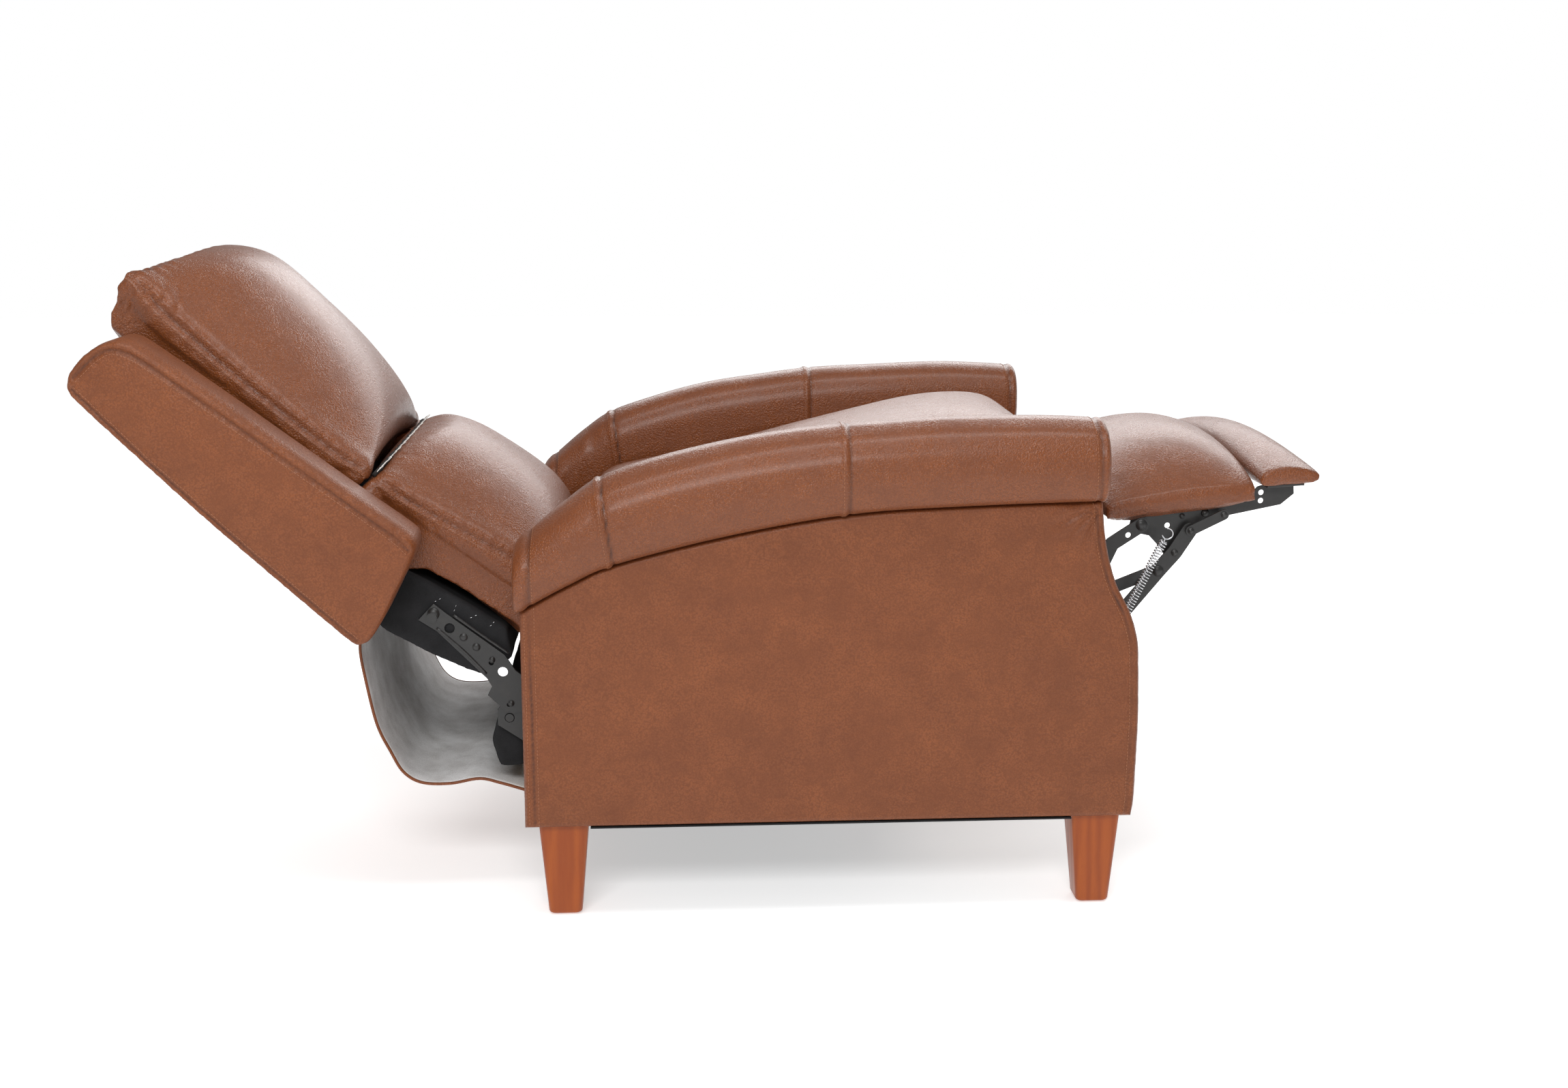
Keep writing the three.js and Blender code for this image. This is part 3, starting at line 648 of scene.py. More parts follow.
# ---- Legs -----------------------------------------------------------------------------------
# Four solid beech legs, square and tapered with softened edges, stained orange-brown under a
# gloss varnish. Each is screwed up into the corner of the base.
def build_wood_grain():
    tree, given, made = new_group(
        "wood_grain",
        [("Vector", "NodeSocketVector", None), ("Rings", "NodeSocketFloat", 40.0)],
        [("Streak", "NodeSocketFloat"), ("Pore", "NodeSocketFloat")],
    )
    stretch = tree.nodes.new("ShaderNodeMapping")
    stretch.inputs["Scale"].default_value = (1.0, 1.0, 0.09)
    tree.links.new(given.outputs["Vector"], stretch.inputs["Vector"])
    place = stretch.outputs["Vector"]
    rings = tree.nodes.new("ShaderNodeTexWave")
    rings.wave_type = "RINGS"
    rings.rings_direction = "Z"
    rings.inputs["Distortion"].default_value = 7.0
    rings.inputs["Detail"].default_value = 3.0
    rings.inputs["Detail Scale"].default_value = 1.4
    tree.links.new(place, rings.inputs["Vector"])
    tree.links.new(given.outputs["Rings"], rings.inputs["Scale"])
    streak = math_node(tree, "ADD", math_node(tree, "MULTIPLY", rings.outputs["Fac"], 0.5),
                       math_node(tree, "MULTIPLY", noise(tree, place, 120.0, 5.0, 0.6), 0.5))
    tree.links.new(streak, made.inputs["Streak"])
    pore = range_node(tree, noise(tree, place, 1400.0, 2.0), 0.58, 0.75, 0.0, 1.0)
    tree.links.new(pore, made.inputs["Pore"])
    return tree


wood_grain = build_wood_grain()


def wood(name, dark, light, gloss, rings, varnish):
    material, shader = plain_material(name, light, gloss)
    tree = material.node_tree
    grain = grouped(tree, wood_grain, Rings=rings)
    base = colour_mix(tree, grain["Streak"], dark, light)
    pores = math_node(tree, "MULTIPLY", grain["Pore"], 0.5)
    tree.links.new(colour_mix(tree, pores, base, dark), shader.inputs["Base Color"])
    rough = range_node(tree, grain["Streak"], 0.0, 1.0, gloss + 0.06, gloss - 0.03)
    tree.links.new(rough, shader.inputs["Roughness"])
    raise_surface(tree, shader, grain["Streak"], 0.12, 0.0003)
    shader.inputs["Specular IOR Level"].default_value = 0.32
    shader.inputs["Coat Weight"].default_value = varnish
    shader.inputs["Coat Roughness"].default_value = 0.12
    return material


leg_wood = wood("leg_wood", (0.23, 0.040, 0.003), (0.35, 0.075, 0.005), 0.36, 26.0, 0.12)
frame_wood = wood("frame_wood", (0.40, 0.26, 0.13), (0.58, 0.42, 0.24), 0.7, 30.0, 0.0)

LEG_FOOT = 44.0
LEG_TOP = 66.0
LEG_OUTER = 352.0
LEG_FOOT_INSET = 4.0
LEG_CORNER = 7.0
PANEL_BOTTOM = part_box("side_panel_right")[0][2] * 1000
glide_plastic, _ = plain_material("glide_plastic", (0.02, 0.02, 0.02), 0.5)


def leg_ring(x, y, size, z):
    """One level of a leg: a square with round corners."""
    half = size / 2
    turn = np.linspace(0, math.pi / 2, 6)
    ring = []
    for k, (sx, sy) in enumerate(((1, 1), (-1, 1), (-1, -1), (1, -1))):
        for t in turn + k * math.pi / 2:
            ring.append((x + sx * (half - LEG_CORNER) + LEG_CORNER * math.cos(t),
                         y + sy * (half - LEG_CORNER) + LEG_CORNER * math.sin(t), z))
    return ring


for side in (-1, 1):
    for end, x in (("rear", -355.0), ("front", 361.0)):
        levels = []
        for part in (0.0, 0.012, 0.03, 0.25, 0.5, 0.75, 0.985, 1.0):
            size = LEG_FOOT + (LEG_TOP - LEG_FOOT) * part
            outer = LEG_OUTER - LEG_FOOT_INSET * (1 - part)
            trim = 2.4 if part == 0 else 0.7 if part == 0.012 else 0.0
            height = 2.0 + part * (PANEL_BOTTOM - 2.4)
            levels.append(leg_ring(x, side * (outer - size / 2), size - 2 * trim, height))
        leg = lofted(f"turned_leg_{end}_{side_name(side)}", levels, leg_wood)
        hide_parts(f"leg_{end}_{side_name(side)}")
        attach(leg, "base")
        foot_y = side * (LEG_OUTER - LEG_FOOT_INSET - LEG_FOOT / 2)
        glide_levels = [
            [(x + r * math.cos(t), foot_y + r * math.sin(t), z)
             for t in np.linspace(0, 2 * math.pi, 28, endpoint=False)]
            for r, z in ((9.0, 0.0), (10.5, 0.5), (11.0, 1.2), (11.0, 2.2))
        ]
        glide = lofted(f"leg_glide_{end}_{side_name(side)}", glide_levels, glide_plastic)
        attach(glide, "base")

# ---- Side panels ----------------------------------------------------------------------------
# Each side of the base is a plywood box padded with thin foam and covered in leather. The front
# edge is an S-curve with a welted seam; the rear edge is turned in and top-stitched.
PANEL_INNER = 268.0
PANEL_OUTER = 365.0
ROLL_SEAM = [(-405, 423), (-340, 458), (-277, 485), (-130, 521), (25, 547), (180, 556), (352, 561)]
PANEL_FRONT = [(406, 129), (409, 150), (410, 190), (411, 260), (410, 300), (408.5, 337), (405.5, 374),
               (394, 411), (375, 448), (363, 485), (356, 521), (352, 561)]
PANEL_STEP = 3.4


def coons(bottom, top, left, right):
    """A grid of (x, z) places that fills the space between four edge lines."""
    a = np.linspace(0, 1, len(bottom))[None, :, None]
    b = np.linspace(0, 1, len(left))[:, None, None]
    across = (1 - b) * bottom[None] + b * top[None]
    along = (1 - a) * left[:, None] + a * right[:, None]
    corners = ((1 - a) * (1 - b) * bottom[0] + a * (1 - b) * bottom[-1]
               + (1 - a) * b * top[0] + a * b * top[-1])
    return across + along - corners


def padded_board(name, grid, y_inner, y_outer, rounding, swell, wall_steps, *materials):
    """A flat board with a soft cover: two faces on the same grid, and a wall round their edge.
    rounding and swell are functions of (a, b) in the grid, in millimetres."""
    rows, columns = grid.shape[:2]
    a = np.linspace(0, 1, columns)[None, :] * np.ones((rows, 1))
    b = np.linspace(0, 1, rows)[:, None] * np.ones((1, columns))
    edge = np.concatenate([grid[0, :-1], grid[:-1, -1], grid[-1, :0:-1], grid[:0:-1, 0]])
    tree = KDTree(len(edge))
    for i, p in enumerate(edge):
        tree.insert((p[0], 0, p[1]), i)
    tree.balance()
    flat = grid.reshape(-1, 2)
    away = np.array([tree.find((p[0], 0, p[1]))[2] for p in flat]).reshape(rows, columns)
    radius = rounding(a, b)
    inside = np.clip(1 - away / np.maximum(radius, 1e-6), 0, 1)
    drop = radius * (1 - np.sqrt(np.clip(1 - inside ** 2, 0, 1)))
    lift = swell(a, b) * (1 - np.exp(-(away / 30.0) ** 2))
    sign = np.sign(y_outer - y_inner)
    outer = np.dstack([grid[..., 0], y_outer - sign * (drop - lift), grid[..., 1]])
    inner = np.dstack([grid[..., 0], y_inner + sign * drop * 0.8, grid[..., 1]])
    index = np.arange(rows * columns).reshape(rows, columns)
    loop = np.concatenate([index[0, :-1], index[:-1, -1], index[-1, :0:-1], index[:0:-1, 0]])
    points = [outer.reshape(-1, 3), inner.reshape(-1, 3)]
    total = rows * columns
    faces = []
    for r in range(rows - 1):
        for c in range(columns - 1):
            quad = [index[r, c], index[r, c + 1], index[r + 1, c + 1], index[r + 1, c]]
            faces.append(quad)
            faces.append([q + total for q in reversed(quad)])
    previous = loop
    outer_flat, inner_flat = points
    for k in range(1, wall_steps):
        t = k / wall_steps
        points.append(outer_flat[loop] * (1 - t) + inner_flat[loop] * t)
        current = 2 * total + (k - 1) * len(loop) + np.arange(len(loop))
        faces += wall(previous, current)
        previous = current
    faces += wall(previous, loop + total)
    piece = new_piece(name, np.vstack(points), faces, *materials)
    face_outwards(piece)
    return piece


def wall(first, second):
    n = len(first)
    return [[first[(i + 1) % n], first[i], second[i], second[(i + 1) % n]] for i in range(n)]


def in_plane(line, y):
    """A line of (x, z) places as points at one y."""
    line = np.asarray(line, float)
    return np.column_stack([line[:, 0], np.full(len(line), float(y)), line[:, 1]])


def inset(line, distance):
    """The line moved sideways, to its left for a positive distance."""
    line = np.asarray(line, float)
    slope = np.gradient(line, axis=0)
    slope /= np.linalg.norm(slope, axis=1, keepdims=True)
    return line + distance * np.column_stack([-slope[:, 1], slope[:, 0]])


panel_columns = int(811 / PANEL_STEP)
panel_rows = 116
panel_top = evenly(smooth_line(ROLL_SEAM, 12), panel_columns)
panel_front = evenly(smooth_line(PANEL_FRONT, 12), panel_rows)
panel_low = evenly([(-405, PANEL_BOTTOM), (406, PANEL_BOTTOM)], panel_columns)
panel_rear = evenly([(-405, PANEL_BOTTOM), (-405, 423)], panel_rows)
panel_grid = coons(panel_low, panel_top, panel_rear, panel_front)
front_welt = inset(panel_front, 9.0)
rear_stitches = np.array([(-392, 135), (-392, 240), (-392, 340), (-392, 420)], float)

for side in (-1, 1):
    panel = padded_board(
        f"panel_cover_{side_name(side)}", panel_grid, side * PANEL_INNER, side * PANEL_OUTER,
        lambda a, b: 7.0 + 0 * a,
        lambda a, b: 2.4 * np.sin(math.pi * np.clip(a, 0, 1)) * np.sin(math.pi * b) + 0 * a,
        18, panel_leather,
    )
    outer_y = side * PANEL_OUTER
    seams = [in_plane(front_welt, outer_y), in_plane(rear_stitches, outer_y)]
    sew(panel, seams, depth=1.8, width=2.7, pucker=0.35, reach=16.0, seed=11)
    # The hide is drawn into small gathers under the front of the arm.
    points = coordinates(panel)
    corner = np.array([351.0, outer_y, 558.0])
    offset = points - corner
    reach = np.linalg.norm(offset[:, [0, 2]], axis=1)
    turn = np.arctan2(offset[:, 2], offset[:, 0])
    pleats = 2.8 * np.sin(turn * 17 + 0.8) * np.exp(-((reach - 30) / 30) ** 2)
    pleats *= (np.abs(points[:, 1]) > PANEL_OUTER - 10) * (points[:, 0] < 350)
    cloud = 0.55 * (np.sin(points[:, 0] / 37 + points[:, 2] / 61) * np.sin(points[:, 2] / 43))
    cloud *= (np.abs(points[:, 1]) > PANEL_OUTER - 6)
    points[:, 1] += side * (pleats + cloud)
    set_coordinates(panel, points)
    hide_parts(f"side_panel_{side_name(side)}")
    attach(panel, "base")
    surface = surface_of(panel)
    rows = [
        laid_on(surface, in_plane(evenly(inset(panel_front, 13.5), 160), outer_y)),
        laid_on(surface, in_plane(evenly([(-386, 134), (-386, 428)], 90), outer_y)),
        laid_on(surface, in_plane(evenly([(-399, 134), (-399, 418)], 90), side * 400)),
    ]
    panel_stitches = stitch(f"panel_stitches_{side_name(side)}", rows)
    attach(panel_stitches, "base")

# ---- Arm pads -------------------------------------------------------------------------------
# A rolled pad of foam lies along each side panel and overhangs its outer face. Its cover is
# three lengths of leather joined by two cross seams, each top-stitched on its rear side.
ARM_INNER = 265.0
ARM_OUTER = 385.0
ARM_MIDDLE = 325.0
ARM_RIDGE = [(-413, 506), (-388, 525), (-346, 560), (-300, 591), (-224, 617), (-142, 637),
             (-61, 650), (19, 659), (144, 666), (247, 668), (330, 665), (365, 660)]
ARM_PROFILE = [
    (PANEL_OUTER - 1, 0.0), (PANEL_OUTER + 13, 0.07), (ARM_OUTER - 1, 0.25), (ARM_OUTER, 0.42),
    (ARM_OUTER - 4, 0.66), (ARM_OUTER - 19, 0.86), (ARM_OUTER - 42, 0.97), (325, 1.0),
    (302, 0.985), (281, 0.89), (ARM_INNER + 3, 0.68), (ARM_INNER, 0.4), (ARM_INNER + 1, 0.15),
    (ARM_INNER + 4, 0.0), (300, 0.02), (335, 0.02),
]
ARM_SEAMS = [(19, 19), (-300, -283)]       # x at the ridge and x at the roll seam
ARM_FRONT = 348.0
ARM_NOSE = 9.0
ARM_STEP = 3.0


def height_at(line, x):
    order = np.argsort(line[:, 0])
    return np.interp(x, line[order, 0], line[order, 1])


arm_ridge = smooth_line(ARM_RIDGE, 12)
arm_seat_line = smooth_line([(-413, 419)] + ROLL_SEAM[1:], 12)
arm_profile = evenly(smooth_line(ARM_PROFILE, 10, closed=True) * (1, 100), 84, closed=True) / (1, 100)
arm_x = np.arange(-405, ARM_FRONT + 0.1, ARM_STEP)


def arm_ring(side, x, shrink=1.0):
    low = height_at(arm_seat_line, min(x, ARM_FRONT)) + 0.6
    rise = height_at(arm_ridge, x) - low
    y = ARM_MIDDLE + (arm_profile[:, 0] - ARM_MIDDLE) * shrink
    z = low + rise * (0.5 + (arm_profile[:, 1] - 0.5) * shrink)
    return np.column_stack([np.full(len(y), float(x)), side * y, z])


for side in (-1, 1):
    rings = [arm_ring(side, -405 - 8 * (1 - c), 0.80 + 0.2 * math.sqrt(1 - (1 - c) ** 2))
             for c in (0.0, 0.1, 0.25, 0.45, 0.7)]
    rings += [arm_ring(side, x) for x in arm_x]
    for c in (0.3, 0.5, 0.7, 0.85, 0.95, 1.0):
        bend = math.sqrt(1 - c * c)
        ring = arm_ring(side, ARM_FRONT, 0.88 + 0.12 * bend)
        ring[:, 0] = ARM_FRONT + ARM_NOSE * c
        rings.append(ring)
    for shrink, swell in ((0.80, 1.2), (0.66, 2.6), (0.45, 3.8), (0.2, 4.4)):
        nose = arm_ring(side, ARM_FRONT, shrink)
        nose[:, 0] = ARM_FRONT + ARM_NOSE + swell
        rings.append(nose)
    arm = lofted(f"arm_cover_{side_name(side)}", rings, cushion_leather)
    points = coordinates(arm)
    normals = outward(arm)
    part = np.clip((points[:, 2] - height_at(arm_seat_line, points[:, 0]))
                   / (height_at(arm_ridge, points[:, 0]) - height_at(arm_seat_line, points[:, 0])), 0, 1)
    push = np.zeros(len(points))
    seam_x = []
    for ridge_x, low_x in ARM_SEAMS:
        off = points[:, 0] - (low_x + (ridge_x - low_x) * part)
        seam_x.append(off)
        # The front length is folded under the rear one, so the rear side stands higher.
        push += 2.4 * np.exp(-((off + 4.5) / 4.5) ** 2) - 2.4 * np.exp(-((off - 1.0) / 2.0) ** 2)
        push += 0.5 * ripple(points[:, 2] * 1.2 + points[:, 1], 5) * np.exp(-(off / 22) ** 2)
    # Near the inner rear end the cover is gathered into loose vertical folds.
    inner = np.clip((300 - np.abs(points[:, 1])) / 20, 0, 1)
    rear = np.exp(-((points[:, 0] + 345) / 38) ** 2) * np.clip((part - 0.1) * 4, 0, 1)
    folds = np.sin(points[:, 0] / 7.3 + 2.1 * np.sin(points[:, 2] / 33 + 0.7)
                   + 1.6 * np.sin(points[:, 0] / 19))
    folds *= 0.55 + 0.45 * np.sin(points[:, 2] / 17 + points[:, 0] / 27)
    push += 1.5 * folds * inner * rear
    # The rear edge is turned over a cord.
    push += 1.2 * np.exp(-((points[:, 0] + 400) / 3.4) ** 2)
    push -= 1.3 * np.exp(-((points[:, 0] + 391) / 2.6) ** 2)
    push -= 1.6 * np.exp(-((points[:, 0] - ARM_FRONT + 4) / 2.4) ** 2)
    push += 1.5 * np.exp(-((points[:, 0] - ARM_FRONT - 3) / 3.6) ** 2)
    push += 0.5 * np.sin(points[:, 0] / 31 + 0.4) * np.sin(points[:, 1] / 23) * (part > 0.3)
    set_coordinates(arm, points + normals * push[:, None])
    # Painted shade darkens the hide in the two cross seams and along the turned rear and front edges.
    shade = np.max([0.95 * np.exp(-((off - 1.0) / 1.3) ** 2) for off in seam_x], axis=0)
    shade = np.maximum(shade, 0.75 * np.exp(-((points[:, 0] + 391) / 1.8) ** 2))
    shade = np.maximum(shade, 0.75 * np.exp(-((points[:, 0] - ARM_FRONT + 4) / 1.5) ** 2))
    shade_seams(arm, shade * (part > 0.02))
    subdivide(arm)
    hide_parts(f"arm_pad_{side_name(side)}")
    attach(arm, "base")
    surface = surface_of(arm)
    visible = arm_profile[(arm_profile[:, 1] > 0.03)]
    visible = visible[np.argsort(np.arctan2(visible[:, 1] - 0.35, visible[:, 0] - ARM_MIDDLE))]
    lines = []

    def girdle(x_top, x_low, offset):
        """A line over the arm from its outer to its inner lower edge."""
        line = []
        for y, h in visible:
            x = x_low + (x_top - x_low) * h + offset
            low = height_at(arm_seat_line, x)
            line.append((x, side * y, low + h * (height_at(arm_ridge, x) - low)))
        return evenly(line, 120)

    for ridge_x, low_x in ARM_SEAMS:
        lines.append(laid_on(surface, girdle(ridge_x, low_x, -6.5)))
    lines.append(laid_on(surface, girdle(-388, -388, 1.0)))
    lines.append(laid_on(surface, girdle(ARM_FRONT - 9, ARM_FRONT - 9, 0.0)))
    arm_stitches = stitch(f"arm_stitches_{side_name(side)}", lines)
    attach(arm_stitches, "base")

# ---- Base rails and the dust cover ------------------------------------------------------------
# Two pine rails and a cloth-wrapped box rail tie the sides together. A black non-woven cloth is
# stapled under the base, where it sags a little, and under each side panel.
def cloth(name, colour, threads, bump_amount):
    """A woven or non-woven cloth with visible fibres."""
    material, shader = plain_material(name, colour, 0.93)
    tree = material.node_tree
    where = object_place(tree)
    fibres = noise(tree, where, threads, 4.0, 0.7)
    clouds = noise(tree, where, 26.0, 3.0)
    light = tuple(min(1.0, c * 1.5 + 0.004) for c in colour)
    dark = tuple(c * 0.62 for c in colour)
    mixed = math_node(tree, "ADD", math_node(tree, "MULTIPLY", fibres, 0.6),
                      math_node(tree, "MULTIPLY", clouds, 0.4))
    tree.links.new(colour_mix(tree, range_node(tree, mixed, 0.35, 0.65, 0, 1), dark, light),
                   shader.inputs["Base Color"])
    raise_surface(tree, shader, fibres, bump_amount, 0.0004)
    shader.inputs["Specular IOR Level"].default_value = 0.25
    return material


cambric = cloth("black_cambric", (0.012, 0.012, 0.013), 1500.0, 0.35)
suede = cloth("hide_underside", (0.86, 0.83, 0.80), 900.0, 0.4)


def build_wear():
    """How much the coating has rubbed, from a place on the metal."""
    tree, given, made = new_group(
        "coat_wear",
        [("Vector", "NodeSocketVector", None), ("Scale", "NodeSocketFloat", 60.0)],
        [("Scuff", "NodeSocketFloat"), ("Orange Peel", "NodeSocketFloat")],
    )
    broad = tree.nodes.new("ShaderNodeTexNoise")
    broad.inputs["Detail"].default_value = 5.0
    tree.links.new(given.outputs["Vector"], broad.inputs["Vector"])
    tree.links.new(given.outputs["Scale"], broad.inputs["Scale"])
    tree.links.new(range_node(tree, broad.outputs["Fac"], 0.45, 0.7, 0, 1), made.inputs["Scuff"])
    tree.links.new(noise(tree, given.outputs["Vector"], 800.0, 2.0), made.inputs["Orange Peel"])
    return tree


coat_wear = build_wear()


def coated_metal(name, colour, scuffed, gloss, metallic, peel):
    material, shader = plain_material(name, colour, gloss, metallic)
    tree = material.node_tree
    wear = grouped(tree, coat_wear, Scale=60.0)
    tree.links.new(colour_mix(tree, wear["Scuff"], colour, scuffed), shader.inputs["Base Color"])
    rough = range_node(tree, wear["Scuff"], 0, 1, gloss, gloss + 0.12)
    tree.links.new(rough, shader.inputs["Roughness"])
    raise_surface(tree, shader, wear["Orange Peel"], peel, 0.0002)
    return material


black_steel = coated_metal("black_steel", (0.016, 0.0155, 0.015), (0.026, 0.025, 0.024), 0.36, 0.0, 0.25)
zinc_wire = coated_metal("zinc_wire", (0.70, 0.71, 0.73), (0.52, 0.53, 0.55), 0.22, 1.0, 0.1)


def repaint(material, *names):
    """Gives CAD nodes that keep their shape a finished material."""
    for name in names:
        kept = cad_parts[name]
        for slot in kept.material_slots:
            slot.material = material
        if not kept.material_slots:
            kept.data.materials.append(material)


def soften(width, *names):
    """Rounds the edges of CAD nodes that keep their shape, as stamping or planing does."""
    for name in names:
        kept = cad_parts[name]
        weld = kept.modifiers.new("joined_corners", "WELD")
        weld.merge_threshold = 0.00001
        edge = kept.modifiers.new("round_edges", "BEVEL")
        edge.width = width / 1000
        edge.segments = 2
        edge.limit_method = "ANGLE"
        edge.angle_limit = math.radians(40)
        edge.harden_normals = True


repaint(frame_wood, "front_rail", "rear_sill")
soften(1.5, "front_rail", "rear_sill")


def grid_faces(rows, columns, flip=False):
    """Four-sided faces over a grid of points; flip turns them over."""
    faces = []
    for r in range(rows):
        for c in range(columns):
            i = r * (columns + 1) + c
            corners = (i, i + 1, i + columns + 2, i + columns + 1)
            faces.append(corners[:1] + corners[:0:-1] if flip else corners)
    return faces


COVER_STEPS = 40
COVER_SAG = 9.0
cover_low, cover_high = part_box("dust_cover")
cover_points = []
for r in range(COVER_STEPS + 1):
    for c in range(COVER_STEPS + 1):
        a, b = c / COVER_STEPS, r / COVER_STEPS
        sag = COVER_SAG * math.sin(math.pi * a) ** 0.8 * math.sin(math.pi * b) ** 0.5
        pucker = 0.5 * math.sin(a * 37 + b * 5) * math.sin(b * math.pi)
        cover_points.append((
            (cover_low[0] - CHAIR_SHIFT) * 1000 + a * (cover_high[0] - cover_low[0]) * 1000,
            cover_low[1] * 1000 + b * (cover_high[1] - cover_low[1]) * 1000,
            cover_low[2] * 1000 + 1.0 - sag - pucker,
        ))
dust_cloth = new_piece("dust_cloth", cover_points, grid_faces(COVER_STEPS, COVER_STEPS), cambric)
thick = dust_cloth.modifiers.new("thickness", "SOLIDIFY")
thick.thickness = 0.0008
finish_mesh(dust_cloth)
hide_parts("dust_cover")
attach(dust_cloth, "base")
repaint(cambric, "panel_underlining_right", "panel_underlining_left")


def wrapped(name, source, voxel, wrinkle, seed):
    """A cloth-wrapped frame member: the CAD shape with soft edges and slack in the cloth."""
    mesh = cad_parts[source].data.copy()
    piece = bpy.data.objects.new(name, mesh)
    bpy.context.collection.objects.link(piece)
    mesh.materials.clear()
    mesh.materials.append(cambric)
    joined = piece.modifiers.new("joined_corners", "WELD")
    joined.merge_threshold = 0.00001
    finish_mesh(piece)
    remesh(piece, voxel, 3)
    points = coordinates(piece)
    rng = np.random.default_rng(seed)
    slack = np.zeros(len(points))
    for _ in range(7):
        lean = rng.normal(size=3)
        lean /= np.linalg.norm(lean)
        slack += np.sin(points @ lean / rng.uniform(7, 22) + rng.uniform(0, 6))
    set_coordinates(piece, points + outward(piece) * (slack[:, None] * wrinkle / 7 - wrinkle * 0.4))
    piece.data.materials.clear()
    piece.data.materials.append(cambric)
    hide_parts(source)
    return piece


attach(wrapped("rear_rail_wrap", "rear_rail", 5.0, 1.3, 3), "base")

# ---- Seat frame ---------------------------------------------------------------------------------
# Four pine rails carry sinuous wire springs under the seat cushion. Steel plates on both sides
# tilt with the seat and carry the footrest linkage.
repaint(frame_wood, "seat_rail_front", "seat_rail_rear", "seat_rail_left", "seat_rail_right")
repaint(zinc_wire, "seat_spring_1", "seat_spring_2", "seat_spring_3", "seat_spring_4")
repaint(black_steel, "cross_tube")
PLATES_AND_LINKS = [
    f"{part}_{side}" for side in ("right", "left")
    for part in ("base_plate", "seat_plate", "drive_link", "lift_link", "rear_link", "stay_link",
                 "control_link", "ottoman_plate", "flip_bracket", "back_bracket")
]
repaint(black_steel, *PLATES_AND_LINKS, "bracket_screw_right", "bracket_screw_left")

# ---- Seat cushion -------------------------------------------------------------------------------
# A thick foam seat with a rolled front edge; its rear runs on under the lumbar cushion. It is built in
# one shape, without the squeeze it gets there when the back comes up.
SEAT_PIVOT = (-430.0, 250.0)
SEAT_TILT = math.radians(9)
BACK_HALF = 258.0


def seat_place(x, z):
    dx, dz = x - SEAT_PIVOT[0], z - SEAT_PIVOT[1]
    return (SEAT_PIVOT[0] + dx * math.cos(SEAT_TILT) - dz * math.sin(SEAT_TILT),
            SEAT_PIVOT[1] + dx * math.sin(SEAT_TILT) + dz * math.cos(SEAT_TILT))


def crowned(name, side_profile, crown_profile, half, place, material, power=3.2, steps=10):
    """A cushion whose profile grows from its side seam to its crown in the middle."""
    edge = smooth_line(side_profile, steps, closed=True)
    crown = smooth_line(crown_profile, steps, closed=True)
    rings = []
    for s in np.sin(np.linspace(-math.pi / 2, math.pi / 2, 61)):
        lift = 1 - abs(s) ** power
        uv = edge + (crown - edge) * lift
        x, z = place(uv[:, 0], uv[:, 1])
        rings.append(np.column_stack([x, np.full(len(x), s * half), z]))
    return lofted(name, rings, material), edge


def edge_lines(edge, half, place, first, last, steps=10):
    """The seams where the top of a cushion meets its two side faces."""
    run = edge[first * steps:last * steps + 1]
    x, z = place(run[:, 0], run[:, 1])
    return [np.column_stack([x, np.full(len(x), side * half), z]) for side in (-1, 1)]


SEAT_EDGE = [(-282, 408), (-100, 405), (70, 405), (300, 405), (340, 420), (348, 460), (332, 500),
             (230, 508), (68, 500), (-110, 490), (-262, 486), (-288, 450)]
SEAT_CROWN = [(-284, 408), (-100, 405), (70, 405), (300, 405), (345, 420), (352, 474), (334, 522),
              (228, 543), (68, 532), (-110, 512), (-258, 498), (-290, 452)]
seat, seat_edge = crowned("seat_cushion_cover", SEAT_EDGE, SEAT_CROWN, BACK_HALF - 2, seat_place,
                          cushion_leather)
remesh(seat, 6.5, 4)
seat_seams = edge_lines(seat_edge, BACK_HALF - 2, seat_place, 4, 10)
fill(seat, seat_seams, 6.0)
sew(seat, seat_seams, depth=2.0, width=4.0, pucker=0.7, reach=18.0, seed=31)
subdivide(seat)
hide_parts("seat_cushion", "seat_rear_gusset")
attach(seat, "seat")
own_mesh(seat)

# ---- Back: wings, frame, outside panel ------------------------------------------------------------
# The back leans on the brackets. A wing of padded leather stands at each side of it, with a
# welted seam behind its rounded front band; the outside is one flat leather panel.
BACK_TOP = (-955.0, 718.0)
BACK_LEAN = math.radians(44.4)
WING_INNER = 270.0
WING_OUTER = 345.0


def back_place(down, out):
    """Down the rear face of the back from its top corner, and out in front of that face."""
    return (BACK_TOP[0] + down * math.cos(BACK_LEAN) + out * math.sin(BACK_LEAN),
            BACK_TOP[1] - down * math.sin(BACK_LEAN) + out * math.cos(BACK_LEAN))


def back_line(points):
    points = np.asarray(points, float)
    return np.column_stack(back_place(points[:, 0], points[:, 1]))


WING_REAR = [(-3, -1), (6, -9), (33, -12), (130, -14), (230, -15), (334, -13.5), (441, -11), (476, -9),
             (484, -4)]
WING_FRONT = [(4, 84), (14, 92), (34, 97), (130, 111), (240, 125), (350, 139), (424, 149), (440, 148),
              (448, 142)]
WING_TOP = [(-3, -1), (-9, 10), (-11, 28), (-10, 46), (-5, 66), (4, 84)]
WING_LOW = [(484, -4), (488, 10), (482, 40), (466, 92), (455, 128), (448, 142)]
wing_columns, wing_rows = 190, 60
wing_grid = coons(
    evenly(back_line(smooth_line(WING_REAR, 10)), wing_columns),
    evenly(back_line(smooth_line(WING_FRONT, 10)), wing_columns),
    evenly(back_line(smooth_line(WING_TOP, 10)), wing_rows),
    evenly(back_line(smooth_line(WING_LOW, 10)), wing_rows),
)
wing_seam = smooth_line([(-2, 10), (0, 46), (8, 68), (26, 79), (50, 85), (130, 96), (240, 110),
                         (350, 124), (420, 132), (444, 132)], 10)
